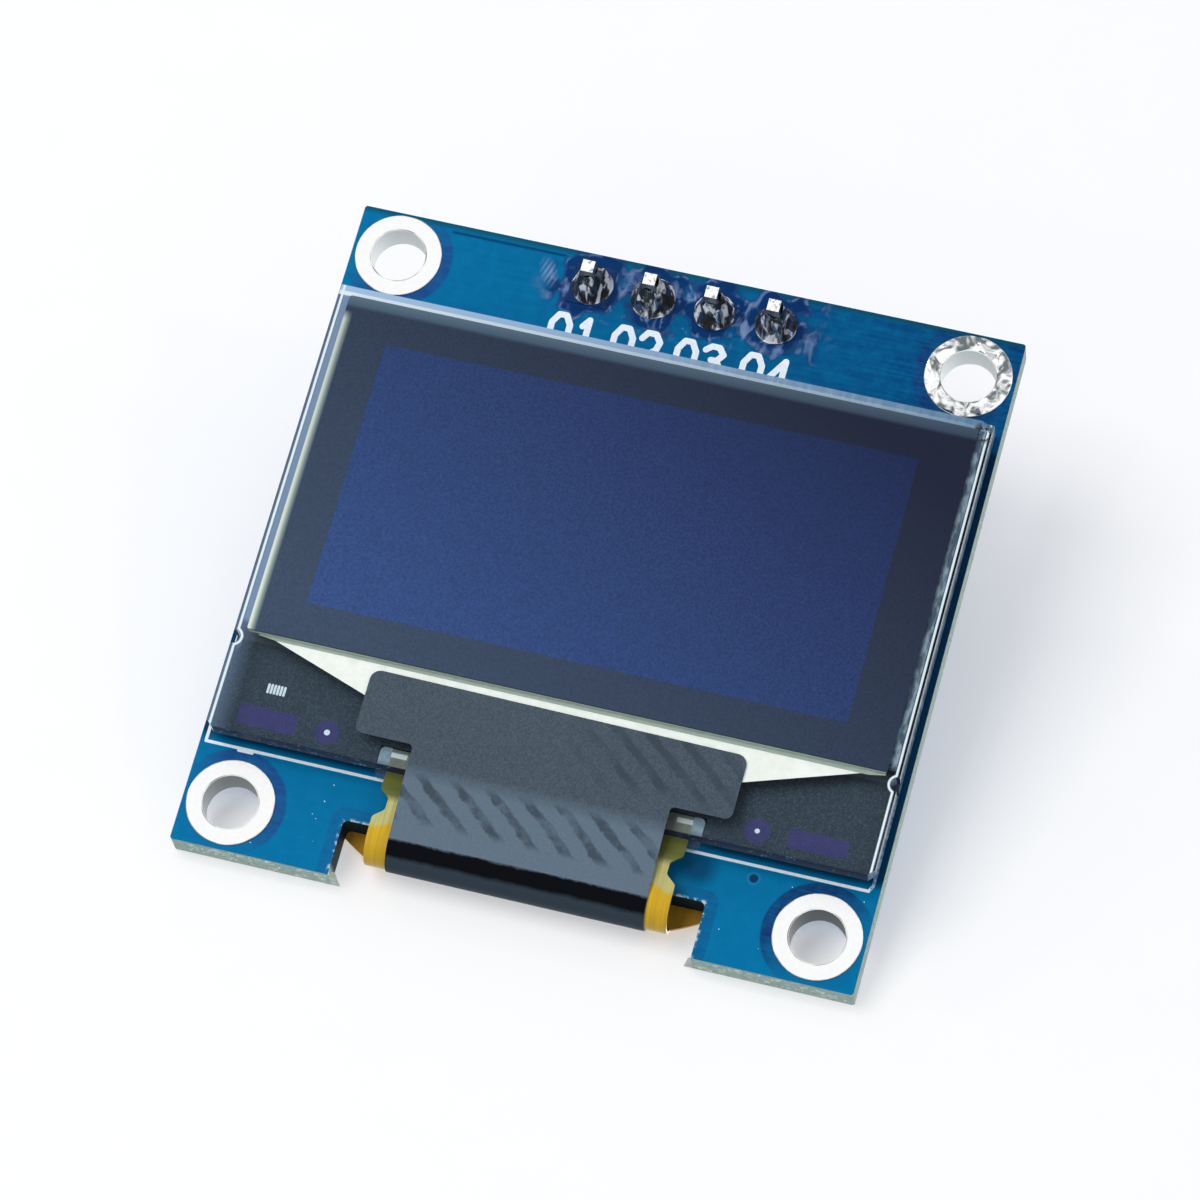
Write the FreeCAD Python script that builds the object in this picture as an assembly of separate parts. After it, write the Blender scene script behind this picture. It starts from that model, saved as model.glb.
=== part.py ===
import FreeCAD, Part
import math
import os

from FreeCAD import Vector

# Small screen module: a bare glass display stuck to a circuit board, with a film cable
# folded through a notch to the board's back, and a four-pin header soldered along the top.
# Frame: the origin is the centre of the four mounting holes, on the back faces of their
# plated lands. X is to the right, Z is up to the header, and the screen faces -Y.

# Display panel: two glasses, the front one longer, so that it ends in a bare ledge.
panel_width = 26.7
panel_height = 19.26
front_glass_thickness = 0.7
rear_glass_thickness = 0.5
seal_thickness = 0.04
seal_width = 1.0
seal_inset = 0.35            # seal line to the edges of the rear glass
ledge_height = 3.8           # part of the front glass with no glass behind it
ledge_corner = 0.25          # ground corners at the foot of the ledge
break_nick_radius = 0.28     # scribe nicks at both ends of the rear glass's break line
glass_chip_radius = 0.34     # hollow chip across the front glass's top right corner
glass_chip_lift = 0.08       # its axis, in front of the glass
panel_shift = 0.05           # the panel sits this far right of the board's middle
film_thickness = 0.02
film_side_border = 2.45      # front glass edge to the lit area, at each side
film_top_border = 1.98
film_foot_border = 2.18      # lit area to the lower edge of the rear glass
polariser_thickness = 0.2
polariser_side_margin = 0.5
polariser_top_margin = 0.46
polariser_foot_margin = 0.32 # polariser to the line of the ledge
polariser_corner = 0.12
adhesive_thickness = 0.1
adhesive_inset = 1.4

# Circuit board
board_thickness = 1.2
board_side_margin = 0.3      # board edge to panel edge, at each side
board_head = 4.14            # strip above the panel, for the header
board_foot = 4.4             # strip below the panel, for the cable
board_corner = 0.12
hole_radius = 1.1            # finished bore, for an M2 screw
hole_inset_side = 1.9
hole_inset_top = 1.85
hole_inset_bottom = 1.95
land_radius = 1.75
land_edge_gap = 0.12         # flats on the hole lands keep this far from the board's edges
land_thickness = 0.04
plating_wall = 0.05
notch_depth = 2.3
notch_gap = 1.2              # notch side to cable side
notch_inner_corner = 0.22

# Film cable: bonded behind the ledge, folded once, soldered to a row of lands at the back.
cable_thickness = 0.12
cable_width = 12.1
cable_bond = 0.95            # overlap with the ledge
cable_run_out = 0.12         # straight run past the ledge before it leaves the glass's plane
cable_bulge = 0.21           # how far it steps out from the glass's rear plane
cable_step_angle = 20.0
cable_front_height = 0.85    # outer face above the board's front where the fold starts
loop_drop = 0.35             # fold axis below the top of the notch
relief_depth = 0.42
relief_top = 1.1             # relief notch below the board edge line of the panel
relief_height = 1.2
relief_slope = 0.35
relief_corner = 0.18
tail_width = 18.9
tail_flare_drop = 0.75       # the flare starts this far below the fold's axis
tail_flare_height = 2.15
tail_notch_gap = 0.02        # tail to notch side, at the fold's axis
tail_end = 6.9               # height of the cable's end above the board's bottom edge
tail_corner = 0.35
contact_count = 30
contact_pitch = 0.62
contact_width = 0.34
contact_below = 0.6          # how far each land runs under the cable's end
contact_above = 0.65         # and how far past it
contact_solder = 0.06
contact_lap = 0.5            # solder over the end of the cable

# Black masking tape: a T on the ledge whose stem wraps over the fold.
tape_thickness = 0.08
tape_bar_width = 15.12
tape_bar_height = 2.67
tape_stem_width = 10.34
tape_top_gap = 0.48          # polariser's lower edge to the tape's top edge
tape_tilt = 0.14             # the bar's right end sits this much lower
tape_corner = 0.42
tape_foot_corner = 0.3
tape_armpit = 0.2
tape_bend_radius = 0.1       # where it leaves the ledge's edge
tape_tail = 2.3              # length up the back of the cable

# Driver chip and the sealant beads beside the cable
chip_length = 6.8
chip_width = 1.0
chip_thickness = 0.3
chip_gap = 0.75              # chip to the rear glass
bead_width = 0.46
bead_height = 1.25
bead_thickness = 0.34
bead_overhang = 0.28         # below the ledge's edge
bead_corner = 0.2

# Pin header
pin_count = 4
pin_pitch = 2.54
pin_size = 0.64
pin_front = 1.9              # beyond the board's front face
pin_back = 6.0               # beyond the housing
pin_taper = 0.14
pin_taper_length = 0.35
pin_row_inset = 1.4          # pin row below the board's top edge
housing_depth = 2.54
housing_height = 2.5
housing_notch = 0.5
pin_clearance = 0.01
pin_land_radius = 0.86
pin_bore_radius = 0.5
solder_heights = (1.42, 1.34, 1.38, 1.3)
solder_waist = 0.43          # radius of a joint's tip, against the pin
horn_foot = (0.32, 0.12)     # first joint's horn: its foot and tip beside the pin, X and Z
horn_tip = (0.68, 0.34)
horn_height = 1.0
horn_foot_radius = 0.42
horn_tip_radius = 0.09
solder_shoulder_drop = 0.03  # a joint's flank starts nearly upright
solder_shoulder_rise = 0.3   # shares of the joint's height where its flank turns in
solder_turn_rise = 0.66

# Small parts on the back: 0603 chips and a three-lead regulator
upper_row_drop = 3.9         # pin row down to the upper row of chips
lower_row_rise = 2.6         # cable's end up to the lower row of chips
lower_row_first = -6.6
lower_row_pitch = 2.2
lower_row_count = 5
upper_row_first = -9.4
upper_row_pitch = 2.1
upper_row_count = 4
bulk_capacitor_x = 10.4
bulk_capacitor_drop = 4.2
input_capacitor_x = 3.2
bus_resistor_x = 6.2
bus_resistor_pitch = 2.2
address_resistor_x = 8.0
address_resistor_rise = 7.0
regulator_x = 6.8
regulator_drop = 4.1
chip_part_length = 1.6
chip_part_width = 0.8
chip_part_end = 0.3
capacitor_height = 0.8
resistor_height = 0.45
solder_toe = 0.32
solder_climb = 0.7           # share of the end's height that the solder climbs
solder_hollow = 0.38         # how near the hollow of the wedge comes to its corner
solder_toe_height = 0.03
chip_land_length = 0.9
chip_land_width = 0.95
chip_land_centres = 1.7
regulator_length = 2.9
regulator_width = 1.3
regulator_height = 1.0
regulator_standoff = 0.08
regulator_draft = 0.12
lead_width = 0.4
lead_thickness = 0.13
lead_pitch = 1.9
lead_span = 2.4
lead_foot = 0.3
lead_exit = 0.5              # height of the leads' exit from the body

# Places worked out from the sizes above
board_width = panel_width + 2 * board_side_margin
board_height = board_foot + panel_height + board_head
hole_pitch_x = board_width - 2 * hole_inset_side
hole_pitch_z = board_height - hole_inset_top - hole_inset_bottom
board_top = hole_pitch_z / 2 + hole_inset_top
board_bottom = -hole_pitch_z / 2 - hole_inset_bottom
board_side = board_width / 2
back_face = -land_thickness
front_face = back_face - board_thickness

panel_bottom = board_bottom + board_foot
panel_top = panel_bottom + panel_height
panel_left = panel_shift - panel_width / 2
panel_right = panel_shift + panel_width / 2
rear_glass_back = front_face - adhesive_thickness
rear_glass_front = rear_glass_back - rear_glass_thickness
front_glass_back = rear_glass_front - seal_thickness
front_glass_front = front_glass_back - front_glass_thickness
rear_glass_bottom = panel_bottom + ledge_height
polariser_top = panel_top - polariser_top_margin
polariser_bottom = rear_glass_bottom + polariser_foot_margin

notch_top = board_bottom + notch_depth
notch_side = cable_width / 2 + notch_gap
loop_z = notch_top - loop_drop
cable_middle = cable_thickness / 2
loop_front = front_face - cable_front_height + cable_middle
loop_radius = (cable_middle - loop_front) / 2
loop_y = loop_front + loop_radius
tail_top = board_bottom + tail_end
pin_row = board_top - pin_row_inset


def block(x0, x1, y0, y1, z0, z1):
    """Rectangular block between two corners."""
    return Part.makeBox(x1 - x0, y1 - y0, z1 - z0, Vector(x0, y0, z0))


def rod(x, z, radius, y0, y1):
    """Round rod along Y."""
    return Part.makeCylinder(radius, y1 - y0, Vector(x, y0, z), Vector(0, 1, 0))


def outline(corners):
    """Flat face in the XZ plane through corners (x, z, rounding radius)."""
    arcs = []
    count = len(corners)
    for index, (x, z, radius) in enumerate(corners):
        here = Vector(x, 0, z)
        before = (Vector(corners[index - 1][0], 0, corners[index - 1][1]) - here).normalize()
        following = corners[(index + 1) % count]
        after = (Vector(following[0], 0, following[1]) - here).normalize()
        half = before.getAngle(after) / 2
        reach = radius / math.tan(half)
        inward = (before + after).normalize()
        middle = here + inward * (radius / math.sin(half) - radius)
        arcs.append((here + before * reach, middle, here + after * reach, radius))
    edges = []
    for index, (start, middle, end, radius) in enumerate(arcs):
        if radius > 0:
            edges.append(Part.Arc(start, middle, end).toShape())
        edges.append(Part.LineSegment(end, arcs[(index + 1) % count][0]).toShape())
    return Part.Face(Part.Wire(edges))


def plate(corners, y0, y1):
    """Flat plate with a rounded outline, between two depths."""
    face = outline(corners)
    face.translate(Vector(0, y0, 0))
    return face.extrude(Vector(0, y1 - y0, 0))


def rectangle(x0, x1, z0, z1, radius=0.0):
    """Corners of a rectangle, for outline and plate."""
    return [(x0, z0, radius), (x1, z0, radius), (x1, z1, radius), (x0, z1, radius)]


def strip_side(start, heading, moves, offset):
    """Edges of one side of a bent strip, seen along X. A move is (length, 0) for a straight
    run or (radius, turn in degrees) for a bend; a positive turn leads towards the back."""
    y, z = start
    angle = math.radians(heading)
    edges = []

    def shifted(py, pz, direction):
        return Vector(0, py - math.sin(direction) * offset, pz + math.cos(direction) * offset)

    for size, turn in moves:
        first = shifted(y, z, angle)
        if turn == 0:
            y += math.cos(angle) * size
            z += math.sin(angle) * size
            edges.append(Part.LineSegment(first, shifted(y, z, angle)).toShape())
            continue
        side = math.copysign(size, turn)
        centre_y = y - math.sin(angle) * side
        centre_z = z + math.cos(angle) * side
        points = []
        for share in (0.5, 1.0):
            direction = angle + math.radians(turn) * share
            y = centre_y + math.sin(direction) * side
            z = centre_z - math.cos(direction) * side
            points.append(shifted(y, z, direction))
        angle += math.radians(turn)
        edges.append(Part.Arc(first, points[0], points[1]).toShape())
    return edges


def bent_strip(start, heading, moves, inner, outer, x0, x1):
    """Strip of constant thickness that follows the moves, between two X planes."""
    near = strip_side(start, heading, moves, inner)
    far = strip_side(start, heading, moves, outer)
    caps = [
        Part.LineSegment(near[0].firstVertex(True).Point, far[0].firstVertex(True).Point).toShape(),
        Part.LineSegment(near[-1].lastVertex(True).Point, far[-1].lastVertex(True).Point).toShape(),
    ]
    face = Part.Face(Part.Wire(Part.__sortEdges__(near + far + caps)))
    face.translate(Vector(x0, 0, 0))
    return face.extrude(Vector(x1 - x0, 0, 0))


def hole_places():
    """Centres of the mounting holes, with the signs of their corner."""
    places = []
    for sx in (-1, 1):
        for sz in (-1, 1):
            places.append((sx * hole_pitch_x / 2, sz * hole_pitch_z / 2, sx, sz))
    return places


def pin_places():
    """X of each header pin, from the left."""
    first = -(pin_count - 1) * pin_pitch / 2
    return [first + index * pin_pitch for index in range(pin_count)]


def contact_places():
    """X of each land under the cable's end, from the left."""
    first = -(contact_count - 1) * contact_pitch / 2
    return [first + index * contact_pitch for index in range(contact_count)]


def make_board():
    """Glass-fibre board with a notch for the cable's fold and bores for the plating."""
    corners = [
        (-board_side, board_bottom, board_corner),
        (-notch_side, board_bottom, 0),
        (-notch_side, notch_top, notch_inner_corner),
        (notch_side, notch_top, notch_inner_corner),
        (notch_side, board_bottom, 0),
        (board_side, board_bottom, board_corner),
        (board_side, board_top, board_corner),
        (-board_side, board_top, board_corner),
    ]
    board = plate(corners, front_face, back_face)
    bores = [rod(x, z, hole_radius + plating_wall, front_face, back_face)
             for x, z, sx, sz in hole_places()]
    bores += [rod(x, pin_row, pin_bore_radius + plating_wall, front_face, back_face)
              for x in pin_places()]
    return board.cut(bores)


def plated_sleeve(land, x, z, radius):
    """Land on both faces joined by the plating of the bore between them."""
    front_land = land.copy()
    front_land.translate(Vector(0, front_face - land_thickness, 0))
    back_land = land.copy()
    back_land.translate(Vector(0, back_face, 0))
    barrel = rod(x, z, radius + plating_wall, front_face - land_thickness, 0)
    bore = rod(x, z, radius, front_face - land_thickness, 0)
    return front_land.fuse([back_land, barrel]).cut(bore).removeSplitter()


def make_hole_lands():
    """Round plated lands of the mounting holes, cut flat beside the board's edges."""
    sleeves = []
    flat_x = board_side - land_edge_gap
    for x, z, sx, sz in hole_places():
        flat_z = board_top - land_edge_gap if sz > 0 else board_bottom + land_edge_gap
        disc = rod(x, z, land_radius, 0, land_thickness)
        inside = block(min(0, sx * flat_x), max(0, sx * flat_x), 0, land_thickness,
                       min(0, flat_z), max(0, flat_z))
        sleeves.append(plated_sleeve(disc.common(inside), x, z, hole_radius))
    return sleeves


def make_header_lands():
    """Plated lands of the pins; the first is square."""
    sleeves = []
    for index, x in enumerate(pin_places()):
        radius = pin_land_radius
        if index == 0:
            land = block(x - radius, x + radius, 0, land_thickness,
                         pin_row - radius, pin_row + radius)
        else:
            land = rod(x, pin_row, radius, 0, land_thickness)
        sleeves.append(plated_sleeve(land, x, pin_row, pin_bore_radius))
    return sleeves


def make_flex_lands():
    """Row of narrow lands that the cable's contacts are soldered to."""
    half = contact_width / 2
    return [block(x - half, x + half, back_face, 0, tail_top - contact_below,
                  tail_top + contact_above) for x in contact_places()]


def make_panel_adhesive():
    """Sheet of double-sided tape between the board and the rear glass."""
    return plate(rectangle(panel_left + adhesive_inset, panel_right - adhesive_inset,
                           rear_glass_bottom + adhesive_inset, panel_top - adhesive_inset),
                 rear_glass_back, front_face)


def make_rear_glass():
    """Shorter glass that closes the panel from behind."""
    return block(panel_left, panel_right, rear_glass_front, rear_glass_back,
                 rear_glass_bottom, panel_top)


def make_edge_seal():
    """Resin line that joins the two glasses all the way round."""
    sheets = []
    for inset in (seal_inset, seal_inset + seal_width):
        sheets.append(block(panel_left + inset, panel_right - inset,
                            front_glass_back, rear_glass_front,
                            rear_glass_bottom + inset, panel_top - inset))
    return sheets[0].cut(sheets[1])


def make_emitting_film():
    """Lit area: the thin layers behind the front glass."""
    return block(panel_left + film_side_border, panel_right - film_side_border,
                 front_glass_back, front_glass_back + film_thickness,
                 rear_glass_bottom + film_foot_border, panel_top - film_top_border)


def make_front_glass():
    """Longer glass with the ledge, ground corners, a nick at each side and a chipped corner."""
    corner = ledge_corner
    corners = [
        (panel_left + corner, panel_bottom, 0),
        (panel_right - corner, panel_bottom, 0),
        (panel_right, panel_bottom + corner, 0),
        (panel_right, panel_top, 0),
        (panel_left, panel_top, 0),
        (panel_left, panel_bottom + corner, 0),
    ]
    glass = plate(corners, front_glass_front, front_glass_back)
    nicks = [rod(x, rear_glass_bottom, break_nick_radius, front_glass_front, front_glass_back)
             for x in (panel_left, panel_right)]
    reach = 2 * glass_chip_radius
    chip = Part.makeCylinder(glass_chip_radius, 2 * math.sqrt(2) * reach,
                             Vector(panel_right - reach, front_glass_front - glass_chip_lift,
                                    panel_top + reach), Vector(1, 0, -1))
    return glass.cut(nicks + [chip])


def make_polariser():
    """Polarising film on the face of the front glass."""
    return plate(rectangle(panel_left + polariser_side_margin,
                           panel_right - polariser_side_margin,
                           polariser_bottom, polariser_top, polariser_corner),
                 front_glass_front - polariser_thickness, front_glass_front)


def make_driver_chip():
    """Bare driver chip, bonded face down behind the ledge."""
    top = rear_glass_bottom - chip_gap
    return block(panel_shift - chip_length / 2, panel_shift + chip_length / 2,
                 front_glass_back, front_glass_back + chip_thickness, top - chip_width, top)


def make_sealant_beads():
    """Beads of clear resin against both sides of the cable, behind the ledge."""
    beads = []
    bottom = panel_bottom - bead_overhang
    for sign in (-1, 1):
        near = sign * cable_width / 2
        far = near + sign * bead_width
        corners = [(near, bottom, 0), (far, bottom, bead_corner),
                   (far, bottom + bead_height, bead_corner), (near, bottom + bead_height, 0)]
        if sign < 0:
            corners.reverse()
        beads.append(plate(corners, front_glass_back, front_glass_back + bead_thickness))
    return beads


def cable_moves():
    """Runs and bends of the cable's middle plane, from under the ledge to its soldered end."""
    turn = math.radians(cable_step_angle)
    step_radius = cable_bulge / (2 * (1 - math.cos(turn)))
    first_run = cable_bond + cable_run_out
    step_length = 2 * step_radius * math.sin(turn)
    second_run = panel_bottom - cable_run_out - step_length - loop_z
    return [
        (first_run, 0),
        (step_radius, -cable_step_angle),
        (step_radius, cable_step_angle),
        (second_run, 0),
        (loop_radius, 180),
        (tail_top - loop_z, 0),
    ]


def cable_front_corners():
    """Outline of the cable from the ledge to the fold, with a relief notch at each side."""
    side = cable_width / 2
    waist = side - relief_depth
    top = panel_bottom - relief_top + relief_slope
    low = top - relief_height
    half = [
        (side, loop_z - 2 * loop_radius, 0),
        (side, low, relief_corner),
        (waist, low + relief_slope, relief_corner),
        (waist, top - relief_slope, relief_corner),
        (side, top, relief_corner),
        (side, panel_bottom + cable_bond, 0),
    ]
    return half + [(-x, z, radius) for x, z, radius in reversed(half)]


def cable_tail_corners():
    """Outline of the cable from the fold to its wide soldered end."""
    side = cable_width / 2
    wide = tail_width / 2
    flare = loop_z - tail_flare_drop
    half = [
        (side, loop_z - 2 * loop_radius, 0),
        (side, flare, 0),
        (notch_side - tail_notch_gap, loop_z, 0),
        (wide, flare + tail_flare_height, tail_corner),
        (wide, tail_top, 0),
    ]
    return half + [(-x, z, radius) for x, z, radius in reversed(half)]


def make_flex_cable():
    """Film cable in one piece: the bent strip, cut to its outline before and after the fold."""
    start = (front_glass_back + cable_middle, panel_bottom + cable_bond)
    half = tail_width / 2
    strip = bent_strip(start, -90, cable_moves(), -cable_middle, cable_middle, -half, half)
    front = plate(cable_front_corners(), front_glass_front, loop_y)
    tail = plate(cable_tail_corners(), loop_y, loop_y + 2 * loop_radius)
    return strip.common(front.fuse(tail)).removeSplitter()


def make_flex_solder():
    """Solder from each land up over the end of the cable's contact."""
    half = contact_width / 2
    crest = cable_thickness + contact_solder
    profile = [
        (0, tail_top), (0, tail_top + contact_above), (contact_solder, tail_top + contact_above),
        (crest, tail_top + contact_solder), (crest, tail_top - contact_lap / 2),
        (cable_thickness, tail_top - contact_lap), (cable_thickness, tail_top),
    ]
    joints = []
    for x in contact_places():
        points = [Vector(x - half, y, z) for y, z in profile]
        face = Part.Face(Part.makePolygon(points + points[:1]))
        joints.append(face.extrude(Vector(contact_width, 0, 0)))
    return joints


def tape_moves():
    """Tape path along its sticky face: down the ledge, over its edge, on to the fold."""
    edge_y = front_glass_front + tape_bend_radius
    run_y = loop_y - edge_y
    run_z = panel_bottom - loop_z
    span = math.hypot(run_y, run_z)
    wrap_radius = loop_radius + cable_middle
    excess = wrap_radius - tape_bend_radius
    lean = math.degrees(math.atan2(run_y, run_z) - math.asin(excess / span))
    tape_top = polariser_bottom - tape_top_gap + tape_tilt / 2
    return [
        (tape_top - panel_bottom, 0),
        (tape_bend_radius, lean),
        (math.sqrt(span ** 2 - excess ** 2), 0),
        (wrap_radius, 180 - lean),
        (tape_tail, 0),
    ]


def make_black_tape():
    """Masking tape cut to a T, its stem wrapped round the cable's fold."""
    top = polariser_bottom - tape_top_gap
    start = (front_glass_front, top + tape_tilt / 2)
    half = tape_bar_width / 2
    stem = tape_stem_width / 2
    tilt = tape_tilt / 2
    low = top - tape_bar_height
    foot = loop_z - 2 * loop_radius
    corners = [
        (-half, top + tilt, tape_corner), (-half, low + tilt, tape_foot_corner),
        (-stem, low + tilt, tape_armpit), (-stem, foot, 0), (stem, foot, 0),
        (stem, low - tilt, tape_armpit), (half, low - tilt, tape_foot_corner),
        (half, top - tilt, tape_corner),
    ]
    strip = bent_strip(start, -90, tape_moves(), -tape_thickness, 0, -half, half)
    cutter = plate(corners, front_glass_front - 2 * tape_thickness, loop_y + 2 * loop_radius)
    return strip.common(cutter)


def make_header_housing():
    """Moulded strip of the header: one eight-sided block to each pin, joined in a row."""
    low = pin_row - housing_height / 2
    high = pin_row + housing_height / 2
    half = pin_pitch / 2
    units = []
    for x in pin_places():
        corners = [
            (x - half, low + housing_notch, 0), (x - half + housing_notch, low, 0),
            (x + half - housing_notch, low, 0), (x + half, low + housing_notch, 0),
            (x + half, high - housing_notch, 0), (x + half - housing_notch, high, 0),
            (x - half + housing_notch, high, 0), (x - half, high - housing_notch, 0),
        ]
        units.append(plate(corners, 0, housing_depth))
    bore = pin_size / 2 + pin_clearance
    bores = [block(x - bore, x + bore, 0, housing_depth, pin_row - bore, pin_row + bore)
             for x in pin_places()]
    return units[0].fuse(units[1:]).removeSplitter().cut(bores)


def square_section(x, y, size):
    """Square wire across a pin at depth y."""
    half = size / 2
    points = [Vector(x + sx * half, y, pin_row + sz * half)
              for sx, sz in ((-1, -1), (1, -1), (1, 1), (-1, 1))]
    return Part.makePolygon(points + points[:1])


def make_pin(x):
    """Square pin with both ends tapered."""
    front = front_face - pin_front
    back = housing_depth + pin_back
    stations = [
        (front, pin_size - pin_taper), (front + pin_taper_length, pin_size),
        (back - pin_taper_length, pin_size), (back, pin_size - 2 * pin_taper),
    ]
    sections = [square_section(x, y, size) for y, size in stations]
    return Part.makeLoft(sections, True, True)


def make_pin_solder(x, height, pin):
    """Solder cone on the front land, drawn up the pin and down the bore."""
    land_face = front_face - land_thickness
    foot = pin_land_radius - pin_clearance
    shape = [(0, 0), (foot, 0), (foot - solder_shoulder_drop, solder_shoulder_rise),
             ((foot + solder_waist) / 2, solder_turn_rise), (solder_waist, 1), (0, 1)]
    points = [Vector(x + radius, land_face - rise * height, pin_row) for radius, rise in shape]
    profile = Part.Face(Part.makePolygon(points + points[:1]))
    cone = profile.revolve(Vector(x, 0, pin_row), Vector(0, 1, 0), 360)
    fill = rod(x, pin_row, pin_bore_radius, land_face, 0)
    return cone.fuse(fill).cut(pin).removeSplitter()


def solder_horn(x):
    """Horn that the soldering iron drew out of the joint beside the pin."""
    land_face = front_face - land_thickness
    foot = Vector(x + horn_foot[0], land_face, pin_row + horn_foot[1])
    tip = Vector(x + horn_tip[0], land_face - horn_height, pin_row + horn_tip[1])
    horn = Part.makeCone(horn_foot_radius, horn_tip_radius, (tip - foot).Length, foot, tip - foot)
    reach = pin_land_radius
    return horn.common(block(x - reach, x + reach, land_face - 2 * horn_height, land_face,
                             pin_row - reach, pin_row + reach))


def capacitor_places():
    """(x, z, upright) of each capacitor on the back."""
    row = [(lower_row_first + lower_row_pitch * index, tail_top + lower_row_rise, True)
           for index in range(lower_row_count)]
    bulk = (bulk_capacitor_x, pin_row - bulk_capacitor_drop, True)
    return row + [bulk, (input_capacitor_x, pin_row - upper_row_drop, True)]


def resistor_places():
    """(x, z, upright) of each resistor on the back."""
    row = [(upper_row_first + upper_row_pitch * index, pin_row - upper_row_drop, True)
           for index in range(upper_row_count)]
    bus = [(bus_resistor_x + bus_resistor_pitch * index, tail_top + lower_row_rise, True)
           for index in range(2)]
    return row + bus + [(address_resistor_x, tail_top + address_resistor_rise, False)]


def placed(shape, x, z, upright):
    """Copy of a shape built along X at the origin, turned upright if asked and moved."""
    copy = shape.copy()
    if upright:
        copy.rotate(Vector(0, 0, 0), Vector(0, 1, 0), 90)
    copy.translate(Vector(x, 0, z))
    return copy


def chip_body(height):
    """Middle of a chip part, between its metal ends."""
    inner = chip_part_length / 2 - chip_part_end
    half = chip_part_width / 2
    return block(-inner, inner, 0, height, -half, half)


def chip_ends(height):
    """Two metal ends of a chip part."""
    outer = chip_part_length / 2
    inner = outer - chip_part_end
    half = chip_part_width / 2
    return [block(-outer, -inner, 0, height, -half, half),
            block(inner, outer, 0, height, -half, half)]


def chip_solder(height):
    """Solder wedges between the ends and their lands."""
    half = chip_part_width / 2
    wedges = []
    for sign in (-1, 1):
        face_x = sign * chip_part_length / 2
        toe_x = face_x + sign * solder_toe
        climb = height * solder_climb
        profile = [
            (face_x, 0), (toe_x, 0), (toe_x, solder_toe_height),
            (face_x + sign * solder_toe * solder_hollow, climb * solder_hollow), (face_x, climb),
        ]
        points = [Vector(x, y, -half) for x, y in profile]
        face = Part.Face(Part.makePolygon(points + points[:1]))
        wedges.append(face.extrude(Vector(0, 0, chip_part_width)))
    return wedges


def chip_lands():
    """Two lands of a chip part, let into the mask on the board's back."""
    length = chip_land_length / 2
    half = chip_land_width / 2
    centre = chip_land_centres / 2
    return [block(sign * centre - length, sign * centre + length, back_face, 0, -half, half)
            for sign in (-1, 1)]


def regulator_place():
    """Centre of the regulator on the back."""
    return Vector(regulator_x, 0, pin_row - regulator_drop)


def make_regulator_body():
    """Moulded body with drafted sides."""
    centre = regulator_place()
    sections = []
    levels = ((regulator_standoff, regulator_draft), (lead_exit, 0),
              (regulator_standoff + regulator_height, regulator_draft))
    for y, draft in levels:
        half_x = regulator_length / 2 - draft
        half_z = regulator_width / 2 - draft
        points = [centre + Vector(sx * half_x, y, sz * half_z)
                  for sx, sz in ((-1, -1), (1, -1), (1, 1), (-1, 1))]
        sections.append(Part.makePolygon(points + points[:1]))
    return Part.makeLoft(sections, True, True)


def regulator_lead_places():
    """(x, side) of the leads: two below the body and one above."""
    return [(-lead_pitch / 2, -1), (lead_pitch / 2, -1), (0, 1)]


def make_regulator_leads():
    """Gull-wing leads from the body down to their lands."""
    centre = regulator_place()
    leads = []
    inside = regulator_width / 2
    outside = lead_span / 2
    half = lead_thickness / 2
    shoulder = outside - lead_foot - half
    ankle = outside - lead_foot + half
    for dx, side in regulator_lead_places():
        profile = [
            (inside, lead_exit + half), (shoulder, lead_exit + half),
            (ankle, lead_thickness), (outside, lead_thickness), (outside, 0),
            (ankle - lead_thickness, 0), (shoulder - lead_thickness, lead_exit - half),
            (inside, lead_exit - half),
        ]
        points = [centre + Vector(dx - lead_width / 2, y, side * reach) for reach, y in profile]
        face = Part.Face(Part.makePolygon(points + points[:1]))
        leads.append(face.extrude(Vector(lead_width, 0, 0)))
    return leads


def make_component_lands():
    """Lands of all the small parts on the back."""
    lands = []
    for x, z, upright in capacitor_places() + resistor_places():
        lands += [placed(land, x, z, upright) for land in chip_lands()]
    centre = regulator_place()
    half = chip_land_width / 2
    for dx, side in regulator_lead_places():
        middle = centre.z + side * (lead_span / 2 - lead_foot / 2)
        lands.append(block(centre.x + dx - half, centre.x + dx + half, back_face, 0,
                           middle - lead_foot, middle + lead_foot))
    return lands


def spread(make, places):
    """Solids of one chip part, repeated at every place."""
    solids = []
    for x, z, upright in places:
        solids += [placed(solid, x, z, upright) for solid in make]
    return solids


def save(name, shapes):
    """Write one node, a single solid or a group of separate ones."""
    solids = []
    for shape in shapes if isinstance(shapes, list) else [shapes]:
        solids += shape.Solids
    node = solids[0] if len(solids) == 1 else Part.makeCompound(solids)
    node.exportStep("parts/" + name + ".step")


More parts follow.
